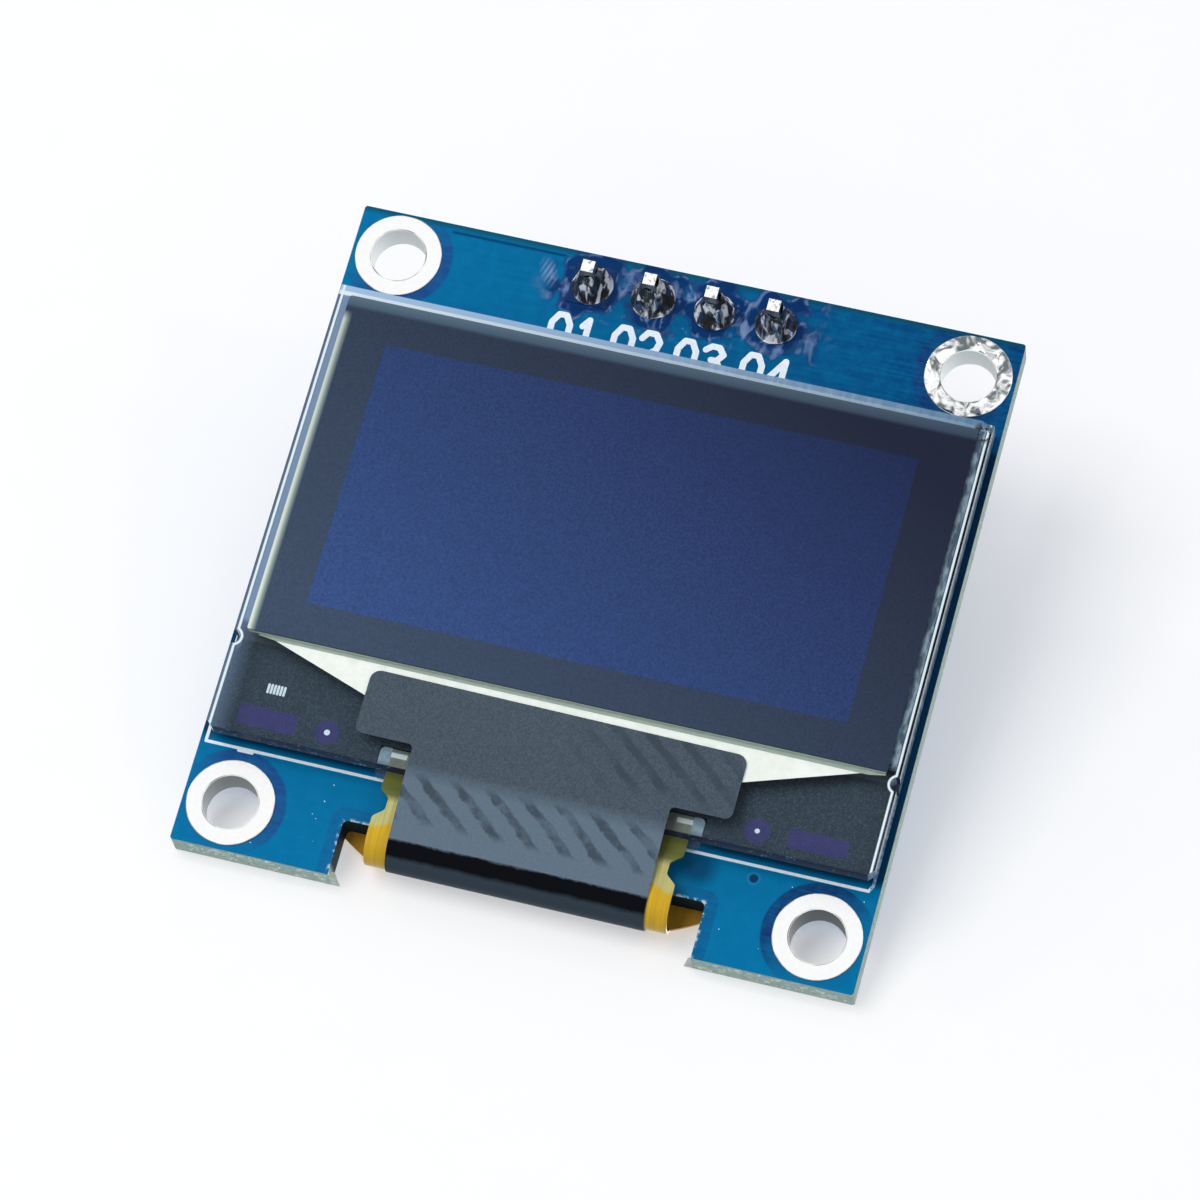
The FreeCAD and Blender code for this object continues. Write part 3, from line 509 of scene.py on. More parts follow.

# Float glass, scribed and broken: its faces are clear and its broken edges show as a bright pale
# line with steps 0.12 mm wide, painted as the light they catch: darker slate on the right as
# painted shade, and a painted blue band of light along the top edge, paler to the left. The lower
# edge is painted dark as shade, but for flaws of 0.3 mm.
float_glass, add, spot = start("float_glass_scribed_and_broken")
axes = add("SeparateXYZ", spot).outputs
outward = add("SeparateXYZ", add("NewGeometry").outputs["Normal"]).outputs
facing = add("Math ABSOLUTE", outward["Y"])
on_side = add("MapRange", facing, 0.85, 0.95, 1.0, 0.0)
stepped = add("VectorMath MULTIPLY", spot, (8.0, 0.8, 8.0))
steps = add("MapRange", add("TexNoise", stepped, 1.0, 4.0), 0.4, 0.6)
broken = add("Mix RGBA", steps, "#b3c4cd", "#dbe7ea")
painted_shade_slate = add("Mix RGBA", steps, "#42586d", "#7b93a8")
# Painted light and shade on the broken edges: darker slate to the right, a blue band of light along
# the top, dark along the lower edge.
at_right = add("MapRange", axes["X"], -1.0, 1.0)
rightward = add("MapRange", axes["X"], -13.0, 13.0)
at_foot = add("MapRange", axes["Z"], -1.0, 1.0, 1.0, 0.0)
low_edge = add("Math MULTIPLY", add("MapRange", outward["Z"], -0.95, -0.85, 1.0, 0.0), at_foot)
top_edge = add("MapRange", axes["Z"], 9.6, 9.7)
painted_bevel_light = add("Mix RGBA", rightward, "#a6c4e2", "#54789a")
flaws = add("TexNoise", {"Vector": spot, "Scale": 3.2, "Detail": 3.0, "Distortion": 2.0})
flaw = add("Math MULTIPLY", add("MapRange", flaws, 0.64, 0.68, 0.0, 0.7), low_edge)
for share, tint in ((at_right, painted_shade_slate), (low_edge, "#1b2740"), (top_edge, painted_bevel_light), (flaw, "#7fb4da")):
    broken = add("Mix RGBA", share, broken, tint)
edge = add("BsdfPrincipled", {"Base Color": broken, "Roughness": 0.3, "Specular IOR Level": 0.1})

# The face: clear, with painted highlights for the bright lines along its chamfered rim, paler
# to the left and darker to the right, a painted band of light along the top, and the hazy adhesive
# that shows beside the film, flecked in streaks of 0.2 by 0.6 mm.
from_middle = add("Math SUBTRACT", axes["X"], glass_middle)
from_side = add("Math SUBTRACT", glass_half, add("Math ABSOLUTE", from_middle))
over_nick = add("Math SUBTRACT", axes["Z"], nick_z)
to_nick = add("VectorMath LENGTH", add("CombineXYZ", from_side, over_nick))
from_nick = add("Math SUBTRACT", to_nick, nick_radius)
from_rim = add("Math MINIMUM", from_side, from_nick)
off_side = add("Math SUBTRACT", from_rim, line_in)
side_line = add("MapRange", add("Math ABSOLUTE", off_side), 0.035, 0.065, 1.0, 0.0)
off_top = add("Math SUBTRACT", axes["Z"], top_line)
upper_line = add("MapRange", add("Math ABSOLUTE", off_top), 0.07, 0.12, 0.9, 0.0)
painted_rim_highlight = add("Math MAXIMUM", side_line, upper_line)
# Painted highlights: bright lines along the rim and round the nick, paler to the left and darker to
# the right.
glow = add("Mix RGBA", rightward, "#e4f1f8", "#7393ad")
glow = add("Mix RGBA", side_line, glow, "#dfedf0")
bright_line = add("BsdfPrincipled", {"Base Color": glow, "Roughness": 0.4})
clear = add("BsdfTransparent", "#f2f8f8")
gloss = add("BsdfAnisotropic", "#ffffff", 0.03)
face = add("MixShader", add("Fresnel", {"IOR": 1.15}), clear, gloss)
flecked = add("VectorMath MULTIPLY", spot, (5.0, 1.0, 1.6))
fleck = add("MapRange", add("TexNoise", flecked, 1.0, 4.0), 0.42, 0.62)
right_murk = add("Mix RGBA", fleck, "#3d5468", "#8fa9b6")
murk = add("Mix RGBA", at_right, "#7893b2", right_murk)
side_band = add("Math MULTIPLY", add("MapRange", from_side, 0.2, 0.23, 0.0, 0.85),
                add("MapRange", axes["Z"], -5.3, -4.9))
haze = add("Math MULTIPLY", add("MapRange", from_side, 0.2, 1.0, 0.4, 0.0),
           add("MapRange", rightward, 0.4, 0.6, 1.0, 0.0))
side_band = add("Math MAXIMUM", side_band, haze)
beside_film = add("BsdfPrincipled", {"Base Color": murk, "Roughness": 0.4})
bevel_light_shader = add("BsdfPrincipled", {"Base Color": painted_bevel_light, "Roughness": 0.4})
# A painted band of light at the top of the face.
top_band = add("MapRange", axes["Z"], 9.46, 9.5, 0.0, 0.8)
for share, film in ((side_band, beside_film), (top_band, bevel_light_shader), (painted_rim_highlight, bright_line)):
    face = add("MixShader", share, face, film)
shader = add("MixShader", on_side, face, edge)

# Small chips at the top right corner.
near_chip = add("VectorMath DISTANCE", spot, chip_middle)
chip_shape = add("MapRange", add("TexNoise", spot, 6.0, 1.0), 0.5, 0.54)
chipped = add("Math MULTIPLY", add("MapRange", near_chip, 0.3, 0.5, 1.0, 0.0), chip_shape)
chip = add("BsdfPrincipled", {"Base Color": "#0b1622", "Roughness": 0.3})
shader = add("MixShader", chipped, shader, chip)
add("OutputMaterial", shader)
give_finish(float_glass, "front_glass", "rear_glass")

# Resin line: ultraviolet-cured epoxy, grey-green and clouded in patches of 0.5 mm.
edge_resin = mottled("epoxy_line_cured", (2.0, 3.0), ("#6d7569", "#99a08e"), {"Roughness": 0.5})
give_finish(edge_resin, "edge_seal")

# Emitting layers: thin metal and organic films, dark blue with the grid of the pixels.
pixel_pitch = 0.17
emitting_layers, add, spot = start("evaporated_films_on_glass")
grid = add("TexChecker", {"Vector": spot, "Scale": 1 / pixel_pitch})
film = add("Mix RGBA", grid, "#25365f", "#2f4476")
shader = add("BsdfPrincipled", {"Base Color": film, "Roughness": 0.3, "Metallic": 0.3})
add("OutputMaterial", shader)
give_finish(emitting_layers, "emitting_film")

# Wiring on the back of the ledge: sputtered metal tracks, seen through the glass. They are about
# 0.02 mm wide, too fine to tell apart, so they are drawn as a dark grey with a coarser speckle.
ledge_metal, add, spot = start("sputtered_metal_tracks")
speck = add("MapRange", add("TexNoise", spot, 14.0, 2.0), 0.45, 0.7)
track = add("Mix RGBA", speck, "#38434f", "#4d5a66")
axes = add("SeparateXYZ", spot).outputs
over_seal = add("MapRange", axes["Z"], -5.6, -5.5, 0.0, 0.55)
above_ledge = add("MapRange", axes["Z"], -5.3, -5.0)
margin = add("Mix RGBA", add("MapRange", axes["X"], -6.0, 12.0), "#93a3bd", "#20284c")
at_top = add("MapRange", axes["Z"], 8.6, 8.9)
margin = add("Mix RGBA", at_top, margin, "#8797ac")
for share, tint in ((over_seal, "#6f7880"), (above_ledge, margin)):
    track = add("Mix RGBA", share, track, tint)
shader = add("BsdfPrincipled", {"Base Color": track, "Roughness": 0.5, "Specular IOR Level": 0.1})
add("OutputMaterial", shader)
track_front, track_back = glass_back - 0.006, glass_back - 0.002
left, right = panel_low.x + 0.02, panel_high.x - 0.02
foot, head = panel_low.z + 0.05, panel_high.z - 0.02
chip_side, chip_top = 6.55, -8.55  # the tracks stop short of the driver chip
ledge_outline = [(left, head), (left, foot + 0.2), (left + 0.2, foot), (-chip_side, foot),
                 (-chip_side, chip_top), (chip_side, chip_top), (chip_side, foot),
                 (right - 0.2, foot), (right, foot + 0.2), (right, head)]
piece_of("ledge_tracks", *slabs([ledge_outline], track_front, track_back), ledge_metal,
         "front_glass")

# Dried resin between the screen and the tape: cream, in clouds of 0.4 mm. The glass lifts it to
# the eye, so it is drawn at the glass's front.
shoulder_resin = mottled("cream_resin_dried", (2.5, 4.0), ("#f6faf2", "#ebf2e6"),
                         {"Roughness": 0.6, "Specular IOR Level": 0.1}, span=(0.35, 0.65))
shoulders = [(-12.13, -5.4), (-7.25, -7.06), (7.41, -7.09), (12.86, -5.3)]
piece_of("shoulder_resin", *slabs([shoulders], glass_front - 0.004, glass_front - 0.001),
         shoulder_resin, "front_glass")

# Adhesive squeezed out under the polariser's lower edge: a thin grey-green margin on the glass.
squeezed_glue = mottled("acrylic_adhesive_squeezed_out", (4.0, 3.0), ("#87998f", "#a4b2a6"),
                        {"Roughness": 0.35})
glue_margin = [(-12.3, -5.44), (-12.3, -5.5), (-11.6, -5.58), (12.2, -5.62), (12.85, -5.5),
               (12.85, -5.44)]
piece_of("polariser_glue_margin", *slabs([glue_margin], glass_front - 0.02, glass_front - 0.002),
         squeezed_glue, "polariser")

# Clear windows and aiming marks in the tracks: bare violet film with white dots, and a plain
# hatch of white bars.
violet_film = mottled("violet_oxide_film_sputtered", (3.0, 2.0), ("#3f3f6c", "#4b4a7c"),
                      {"Roughness": 0.4, "Specular IOR Level": 0.1})
left_aim, right_aim = (-8.74, -8.55), (8.53, -8.59)
windows = [[(-12.35, -8.13), (-12.35, -8.98), (-10.0, -8.98), (-10.0, -8.13)],
           [(9.78, -8.17), (9.78, -8.96), (12.09, -8.96), (12.09, -8.17)],
           disc(*left_aim, 0.5), disc(*right_aim, 0.5)]
piece_of("ledge_windows", *slabs(windows, track_front - 0.006, track_front - 0.002),
         violet_film, "front_glass")
hatch_x, hatch_step, hatch_foot, hatch_head, hatch_bars = -11.48, 0.13, -7.47, -7.15, 6
marks = [disc(*left_aim, 0.12, 16), disc(*right_aim, 0.1, 16)]
marks += strokes([(hatch_x + hatch_step * i, hatch_foot, hatch_x + hatch_step * i, hatch_head)
                  for i in range(hatch_bars)], 0.1)
piece_of("ledge_marks", *slabs(marks, track_front - 0.012, track_front - 0.008),
         marking_ink, "front_glass")


# Polariser.
# Stretched plastic film on an adhesive, laid on the front glass. It makes the panel look dark
# slate, and the lit area shows through it as a navy field with a fine speckle.

polariser_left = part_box("polariser")[0].x / MM
lit_left, lit_right, lit_low, lit_high = -10.82, 10.92, -3.81, 7.49

# Laminated film: dark, painted lighter at the lower left and darker to the upper right as a sheen,
# with painted highlights where its cut edge and the strips beside it catch light, and a dark line
# along its lower edge. The speckle is 0.08 mm, half a pixel, as the pixels show.
dark_film, add, spot = start("polarising_film_laminated")
axes = add("SeparateXYZ", spot).outputs
middle_x = add("Math SUBTRACT", axes["X"], (lit_left + lit_right) / 2)
middle_z = add("Math SUBTRACT", axes["Z"], (lit_low + lit_high) / 2)
outside_x = add("Math SUBTRACT", add("Math ABSOLUTE", middle_x), (lit_right - lit_left) / 2)
outside_z = add("Math SUBTRACT", add("Math ABSOLUTE", middle_z), (lit_high - lit_low) / 2)
outside = add("Math MAXIMUM", outside_x, outside_z)
lit = add("MapRange", outside, -0.03, 0.03, 1.0, 0.0)
# Painted sheen: lighter at the lower left, darker to the upper right.
across = add("MapRange", axes["X"], -12.8, 12.9)
upward = add("MapRange", axes["Z"], -5.4, 9.3)
painted_sheen = add("MapRange", add("Math ADD", across, upward), 0.2, 1.8)
border = add("Mix RGBA", painted_sheen, "#36475e", "#08142f")
field = add("Mix RGBA", painted_sheen, "#2d4a80", "#091c48")
pixels = add("TexNoise", spot, 12.0, 2.0)
field = add("VectorMath SCALE", field, add("MapRange", pixels, 0.3, 0.7, 0.76, 1.24))
border = add("VectorMath SCALE", border, add("MapRange", pixels, 0.3, 0.7, 0.85, 1.15))
dark = add("Mix RGBA", lit, border, field)
# Painted highlights along the top and left strips, the right edge and the lower cut edge, and a
# dark line along the lower edge.
top_strip = add("Math MULTIPLY", add("MapRange", axes["Z"], 8.72, 8.88, 0.0, 0.8),
                add("MapRange", across, 0.0, 1.0, 1.0, 0.5))
top_strip_highlight = add("Mix RGBA", add("MapRange", axes["Z"], 8.8, 9.3), "#42586e", "#5f7987")
from_left = add("Math SUBTRACT", axes["X"], polariser_left)
left_strip = add("Math MULTIPLY", add("MapRange", from_left, 0.2, 0.34, 1.0, 0.0),
                 add("MapRange", axes["Z"], 8.2, 8.6, 1.0, 0.0))
left_strip = add("Math MULTIPLY", left_strip, add("MapRange", axes["Z"], -5.0, 8.0, 0.95, 0.7))
left_strip_highlight = add("Mix RGBA", add("MapRange", from_left, 0.06, 0.2), "#e2ecd9", "#8c9c98")
right_line = add("MapRange", axes["X"], 12.9, 12.94, 0.0, 0.6)
low_line = add("MapRange", axes["Z"], -5.4, -5.37, 0.8, 0.0)
outward = add("SeparateXYZ", add("NewGeometry").outputs["Normal"]).outputs
cut_low = add("MapRange", outward["Z"], -0.9, -0.7, 1.0, 0.0)
for share, tint in ((top_strip, top_strip_highlight), (left_strip, left_strip_highlight), (right_line, "#9fb0bd"),
                    (low_line, "#1a2430"), (cut_low, "#b3c2b2")):
    dark = add("Mix RGBA", share, dark, tint)
shader = add("BsdfPrincipled", {"Base Color": dark, "Roughness": 0.12, "Specular IOR Level": 0.2})
add("OutputMaterial", shader)
give_finish(dark_film, "polariser")


# Driver chip and sealant.
# A bare silicon die bonded face down under the ledge, and two beads of clear resin that keep the
# cable's bonded end tight.

# Ground silicon: dark grey, half bright. Its parallel grinding lines are drawn 0.04 mm apart,
# coarser than the real ones.
ground_silicon, add, spot = start("silicon_ground")
lines = add("TexWave", {"Vector": spot, "Scale": 8.0, "Distortion": 0.5})
die = add("Mix RGBA", lines, "#33353b", "#4a4c53")
shader = add("BsdfPrincipled", {"Base Color": die, "Metallic": 0.4, "Roughness": 0.3})
add("OutputMaterial", shader)
give_finish(ground_silicon, "driver_chip")

# Clear silicone resin: bluish white where it is thick, in clouds of 0.3 mm, and clear where it
# thins towards its foot.
clear_resin, add, spot = start("silicone_resin_dispensed")
milk = add("TexNoise", spot, 3.0, 3.0)
bead = add("Mix RGBA", milk, "#8aa2bd", "#d3e0ec")
milky = add("BsdfPrincipled", {"Base Color": bead, "Roughness": 0.15})
through = add("BsdfTransparent", "#eef3f7")
foot_thin = add("MapRange", add("SeparateXYZ", spot).outputs["Z"], -9.5, -9.1, 0.95, 0.25)
shader = add("MixShader", foot_thin, milky, through)
add("OutputMaterial", shader)
give_finish(clear_resin, "sealant_beads")


# Film cable.
# Two skins of amber polyimide film with copper conductors laminated between them, bonded under
# the ledge, folded once round the board's notch and soldered to a row of lands at the back.

bar_x, bar_z = 5.85, -8.84         # a bare conductor at each side, seen through the glass

# Laminated polyimide: amber and glossy, greyed under the glass. Just below the glass it is painted
# olive as the glass's shade, and lower down pale yellow as a painted highlight where it bulges to
# the light. Its conductors show as faint stripes 0.11 mm wide, in the colour and in the relief.
polyimide, add, spot = start("polyimide_film_laminated")
axes = add("SeparateXYZ", spot).outputs
striped = add("VectorMath MULTIPLY", spot, (9.0, 0.3, 0.3))
stripe = add("TexNoise", striped, 1.0, 3.0)
wide = add("Math ABSOLUTE", axes["X"])
off_bar_x = add("Math ABSOLUTE", add("Math SUBTRACT", wide, bar_x))
off_bar_z = add("Math ABSOLUTE", add("Math SUBTRACT", axes["Z"], bar_z))
bowed = add("Math SUBTRACT", axes["Z"], add("Math MULTIPLY", off_bar_x, 0.5))
bar = add("Math MULTIPLY", add("MapRange", off_bar_z, 0.08, 0.12, 1.0, 0.0),
          add("MapRange", off_bar_x, 0.42, 0.46, 1.0, 0.0))
amber = "#8a8982"
# Painted shade in olive just below the glass, and a painted highlight in pale yellow lower down.
for share, tint in ((add("MapRange", axes["Z"], -9.5, -9.6), "#626d34"),
                    (add("MapRange", axes["Z"], -10.5, -10.8), "#c4c078"),
                    (add("MapRange", bowed, -11.85, -12.0), "#d9ae18"),
                    (add("MapRange", axes["Y"], -0.9, -0.6), "#c4932e"),
                    (add("MapRange", stripe, 0.4, 0.65, 0.0, 0.28), "#7b5a20"),
                    (bar, "#f6f8f8")):
    amber = add("Mix RGBA", share, amber, tint)
relief = add("Bump", {"Strength": 0.3, "Distance": 0.03 * MM, "Height": stripe})
shader = add("BsdfPrincipled", {"Base Color": amber, "Roughness": 0.3,
                                "Specular IOR Level": 0.25, "Normal": relief})
add("OutputMaterial", shader)
give_finish(polyimide, "flex_cable")


# Solder.
# Hand-soldered joints of tin alloy, bright as a dark mirror, each drawn a little unevenly up its
# pin, and the reflowed wedges of the small parts at the back.

# Flowed solder: a bright metal painted dark with white swirls, 0.4 mm wide and 0.8 mm tall, as its
# reflections, which also give its relief, under a thin skin of amber flux that lies in pools; the
# flux's pale patches are painted highlights.
flowed_solder, add, spot = start("tin_solder_flowed")
drawn_down = add("VectorMath MULTIPLY", spot, (1.5, 0.5, 0.8))
swirl = add("TexNoise", {"Vector": drawn_down, "Scale": 1.5, "Detail": 3.0, "Distortion": 1.2})
# Painted reflections: dark and white swirls on the metal.
painted_reflection = add("Mix RGBA", add("MapRange", swirl, 0.45, 0.66), "#2b2c2c", "#f7f8f6")
relief = add("Bump", {"Strength": 0.4, "Distance": 0.15 * MM, "Height": swirl})
metal = add("BsdfPrincipled",
            {"Base Color": painted_reflection, "Metallic": 1.0, "Roughness": 0.15, "Normal": relief})
pool = add("TexNoise", {"Vector": drawn_down, "Scale": 2.1, "Detail": 2.0, "Distortion": 0.6})
# The pale patches of the flux are painted highlights.
rosin_and_highlight = add("Mix RGBA", add("MapRange", pool, 0.52, 0.6), "#4a453c", "#ffffff")
film = add("BsdfPrincipled", {"Base Color": rosin_and_highlight, "Roughness": 0.25})
shader = add("MixShader", add("MapRange", pool, 0.5, 0.6, 0.35, 0.85), metal, film)
add("OutputMaterial", shader)
give_finish(flowed_solder, "header_solder_1", "header_solder_2", "header_solder_3",
            "header_solder_4", "flex_solder", "component_solder")


def rings_of(name, place, finish, rings, spokes):
    """Smooth piece of solder from rings of points; place gives the point for the share of the
    way from the first ring to the last, and the turn."""
    points = [place(ring / rings, math.tau * spoke / spokes)
              for ring in range(rings + 1) for spoke in range(spokes)]
    faces = []
    for ring in range(rings):
        for spoke in range(spokes):
            a, b = ring * spokes + spoke, ring * spokes + (spoke + 1) % spokes
            faces.append((a, b, b + spokes, a + spokes))
    piece = piece_of(name, points, faces, finish, "solder")
    for face in piece.data.polygons:
        face.use_smooth = True
    return piece


def flowed_joint(x, name, seed, radius, climb, lumps):
    """Hand-soldered joint as a height over the board: steep at the pin, thin at the toe, with
    lumps (place, width and height) where the iron left them."""
    toe, pin_reach = front_face - 0.035, 0.36

    def place(share, turn):
        sway = noise.noise(Vector((math.cos(turn), math.sin(turn), seed)))
        brim = radius * (1 + 0.07 * sway)
        far = pin_reach + (brim - pin_reach) * share
        u, v = far * math.cos(turn), far * math.sin(turn)
        inward = (brim - far) / (brim - pin_reach)
        ripple = noise.noise(Vector((u * 2.6, v * 2.6, seed * 3.1)))
        height = climb * inward ** 1.55
        height += 0.16 * ripple * min(1.0, inward * 3) * (1 - inward * 0.6)
        for at_u, at_v, width, lift in lumps:
            height += lift * math.exp(-((u - at_u) ** 2 + (v - at_v) ** 2) / width ** 2)
        if share == 1.0:
            height = 0.0
        return x + u, toe - max(height, 0.0), pin_row + v

    joint = rings_of("flowed_" + name, place, flowed_solder, rings=34, spokes=72)
    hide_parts(name)


joint_shapes = [
    (1.7, 0.84, 1.5, [(0.56, 0.3, 0.17, 0.75), (0.2, -0.5, 0.16, 0.22), (-0.45, -0.35, 0.2, 0.2)]),
    (4.2, 0.9, 1.55, [(0.45, 0.2, 0.3, 0.25)]),
    (7.9, 0.84, 1.5, [(0.1, -0.55, 0.16, -0.25), (0.1, -0.78, 0.14, 0.12), (0.5, 0.1, 0.25, 0.25)]),
    (9.4, 0.86, 1.5, [(0.15, -0.5, 0.17, -0.22), (0.5, 0.2, 0.25, 0.3), (-0.3, -0.45, 0.16, 0.2)]),
]
for index, shape in enumerate(joint_shapes):
    flowed_joint((index - 1.5) * pin_pitch, "header_solder_" + str(index + 1), *shape)

# The top right land took solder over its tin: a rough ring of facets 0.4 mm wide and swirls of
# 0.6 mm.
lumpy_solder, add, spot = start("tin_solder_wiped_on_land")
facet = add("TexVoronoi", spot, 2.4)
swirl = add("TexNoise", {"Vector": spot, "Scale": 1.7, "Detail": 4.0, "Distortion": 1.5})
silver = add("Mix RGBA", add("MapRange", swirl, 0.4, 0.56), "#6d7679", "#fbfcfc")
relief = add("Bump", {"Strength": 0.6, "Distance": 0.1 * MM, "Height": facet})
shader = add("BsdfPrincipled",
             {"Base Color": silver, "Metallic": 1.0, "Roughness": 0.22, "Normal": relief})
add("OutputMaterial", shader)


def land_place(share, turn):
    """Point of the wiped solder: a low uneven swell between the bore's lip and the rim."""
    far = bore_lip + (land_radius - 0.02 - bore_lip) * share
    u, v = far * math.cos(turn), far * math.sin(turn)
    lump = 0.5 + noise.noise(Vector((u * 2.2, v * 2.2, 5.0)))
    rise = 0.1 * lump * math.sin(math.pi * share) ** 0.5
    return hole_x + u, front_face - 0.042 - max(rise, 0.0), hole_z + v


rings_of("land_solder", land_place, lumpy_solder, rings=14, spokes=120)


# Black tape.
# Matt black masking film cut to a T. Its bar shields the driver chip from light and its stem is
# drawn down to the fold and wrapped round it.

streak_step = 0.9
stem_middle = -10.55

# Matted polyester: dark grey, painted lighter down the stem as light where it faces the lamp, with
# a grain drawn at 0.06 mm, coarser than the matting, and slanting scuffs 0.9 mm apart. Where it
# turns under it is painted black as a dark reflection, and its lip a lighter grey as painted light.
matt_film, add, spot = start("black_polyester_film_matted")
axes = add("SeparateXYZ", spot).outputs
grain = add("TexNoise", spot, 16.0, 2.0)
# Painted light: the stem lighter than the bar.
grey = add("Mix RGBA", add("MapRange", axes["Z"], -9.2, -9.9), "#424e58", "#5f707e")
pale = add("MapRange", grain, 0.35, 0.7, 0.0, 0.16)
cross = add("VectorMath DOT_PRODUCT", spot, (0.64, 0.0, 0.77))
uneven = add("TexNoise", spot, 0.9, 7.0, 0.75)
swayed = add("Math ADD", add("MapRange", uneven, 0.0, 1.0, -0.3, 0.3), cross)
teeth = add("Math FLOORED_MODULO", swayed, streak_step)
off_tooth = add("Math SUBTRACT", teeth, streak_step / 2)
streak = add("MapRange", add("Math ABSOLUTE", off_tooth), 0.13, 0.21, 1.0, 0.0)
off_stem = add("Math SUBTRACT", axes["Z"], stem_middle)
on_stem = add("MapRange", add("Math ABSOLUTE", off_stem), 0.7, 1.0, 0.85, 0.0)
on_right = add("Math MULTIPLY", add("MapRange", axes["X"], 0.0, 3.0, 0.0, 0.95),
               add("MapRange", axes["Z"], -8.6, -8.0))
rubbed = add("Math MAXIMUM", on_stem, on_right)
scuff = add("Math MULTIPLY", streak, rubbed)
scuff = add("Math MULTIPLY", scuff, add("MapRange", uneven, 0.4, 0.55, 0.35, 1.0))
outward = add("SeparateXYZ", add("NewGeometry").outputs["Normal"]).outputs
# Painted by the way the film faces: black at the turn as a dark reflection, lighter on the lip.
turned = add("Math ADD", outward["Z"], add("MapRange", uneven, 0.3, 0.7, 0.0, 0.07))
painted_dark_reflection = add("MapRange", turned, -0.26, -0.2, 1.0, 0.0)
lip = add("MapRange", turned, -0.74, -0.62, 1.0, 0.0)
for share, tint in ((pale, "#8b97a0"), (scuff, "#3c4751"), (painted_dark_reflection, "#07090d"),
                    (lip, "#35414b")):
    grey = add("Mix RGBA", share, grey, tint)
relief = add("Bump", {"Strength": 0.15, "Distance": 0.02 * MM, "Height": grain})
shader = add("BsdfPrincipled", {"Base Color": grey, "Roughness": 0.5,
                                "Specular IOR Level": 0.04, "Normal": relief})
add("OutputMaterial", shader)
give_finish(matt_film, "black_tape")


# Pin header.
# Four square brass pins, tinned and pointed, pressed through a moulded strip that lies against
# the board's back.

# Moulded nylon: near black, with the fine sheen of the tool, drawn at 0.2 mm so that it shows.
black_nylon = mottled("glass_filled_nylon_moulded", (5.0, 4.0), ("#131416", "#24262a"),
                      {"Roughness": 0.5}, relief=(0.2, 0.04))
give_finish(black_nylon, "header_housing")

# Tinned brass, drawn and sheared: silver-white, with faint lines along the pin, drawn 0.17 mm
# wide so that they show, a rough sheared tip, and its sides drawn dark grey in front of the board.
tinned_brass, add, spot = start("brass_drawn_and_tinned")
stretched = add("VectorMath MULTIPLY", spot, (6.0, 0.4, 6.0))
drawn = add("TexNoise", stretched, 1.0, 3.0)
silver = add("Mix RGBA", drawn, "#e9e8e2", "#cfcdc4")
outward = add("SeparateXYZ", add("NewGeometry").outputs["Normal"]).outputs
aslant = add("MapRange", add("Math ABSOLUTE", outward["Y"]), 0.85, 0.95, 1.0, 0.0)
depth = add("SeparateXYZ", spot).outputs["Y"]
dark_sides = add("Math MULTIPLY", aslant, add("MapRange", depth, -1.3, -1.2, 0.8, 0.0))
at_tip = add("Math MULTIPLY", add("MapRange", depth, -2.6, -2.5, 1.0, 0.0),
             add("MapRange", outward["Y"], -0.8, -0.7, 1.0, 0.0))
sheared = add("MapRange", add("TexNoise", spot, 6.0, 3.0), 0.55, 0.66)
snipped = add("Mix RGBA", sheared, "#ffffff", "#a4aaaf")
for share, tint in ((dark_sides, "#3c4248"), (at_tip, snipped)):
    silver = add("Mix RGBA", share, silver, tint)
relief = add("Bump", {"Strength": 0.15, "Distance": 0.03 * MM, "Height": drawn})
shader = add("BsdfPrincipled",
             {"Base Color": silver, "Metallic": 1.0, "Roughness": 0.25, "Normal": relief})
add("OutputMaterial", shader)
give_finish(tinned_brass, "header_pin_1", "header_pin_2", "header_pin_3", "header_pin_4",
            "regulator_leads")


# Small parts on the back.
# A three-lead regulator, seven chip capacitors and seven chip resistors, reflow soldered.

# Moulded epoxy of the regulator: charcoal, with a blasted texture of 0.12 mm.
moulded_epoxy = mottled("epoxy_transfer_moulded", (8.0, 4.0), ("#1c1d20", "#2b2d31"),
                        {"Roughness": 0.6}, relief=(0.3, 0.03))
give_finish(moulded_epoxy, "regulator_body")

# Fired ceramic of the capacitors: tan, with its grain drawn at 0.17 mm so that it shows.
fired_ceramic = mottled("barium_titanate_fired", (6.0, 4.0), ("#8f7152", "#ab8b68"),
                        {"Roughness": 0.4})
give_finish(fired_ceramic, "capacitor_bodies")

# Plated ends: tin over nickel, satin, tumbled to an unevenness drawn at 0.14 mm.
plated_ends = mottled("tin_over_nickel_barrel_plated", (7.0, 3.0), ("#dcdddb", "#c3c5c4"),
                      {"Metallic": 1.0, "Roughness": 0.4})
give_finish(plated_ends, "capacitor_ends", "resistor_ends")

# Resistor: black glaze over the film, with waves of 0.25 mm, and white ceramic at its sides.
black_glaze, add, spot = start("black_glaze_on_alumina")
top = add("MapRange", add("SeparateXYZ", spot).outputs["Y"], 0.36, 0.4)
wave = add("TexNoise", spot, 4.0, 2.0)
glaze = add("Mix RGBA", wave, "#0e0f12", "#1f2126")
body = add("Mix RGBA", top, "#dcdad2", glaze)
shader = add("BsdfPrincipled", {"Base Color": body, "Roughness": 0.3})
add("OutputMaterial", shader)
give_finish(black_glaze, "resistor_bodies")


# Table, light and camera.
# The module lies on a plain white table, resting on its foot and on the tips of its pins. The
# table shows to the camera alone, so it takes the module's shadow and gives it no light.

rest_foot = Vector((0.0, -0.04, -13.95))
rest_pins = Vector((0.0, 8.54, 12.13))
uphill = (rest_pins - rest_foot).normalized()
sideways = Vector((1.0, 0.0, 0.0))
table_up = sideways.cross(uphill)
if table_up.y > 0:
    table_up = -table_up
table_reach = 400.0

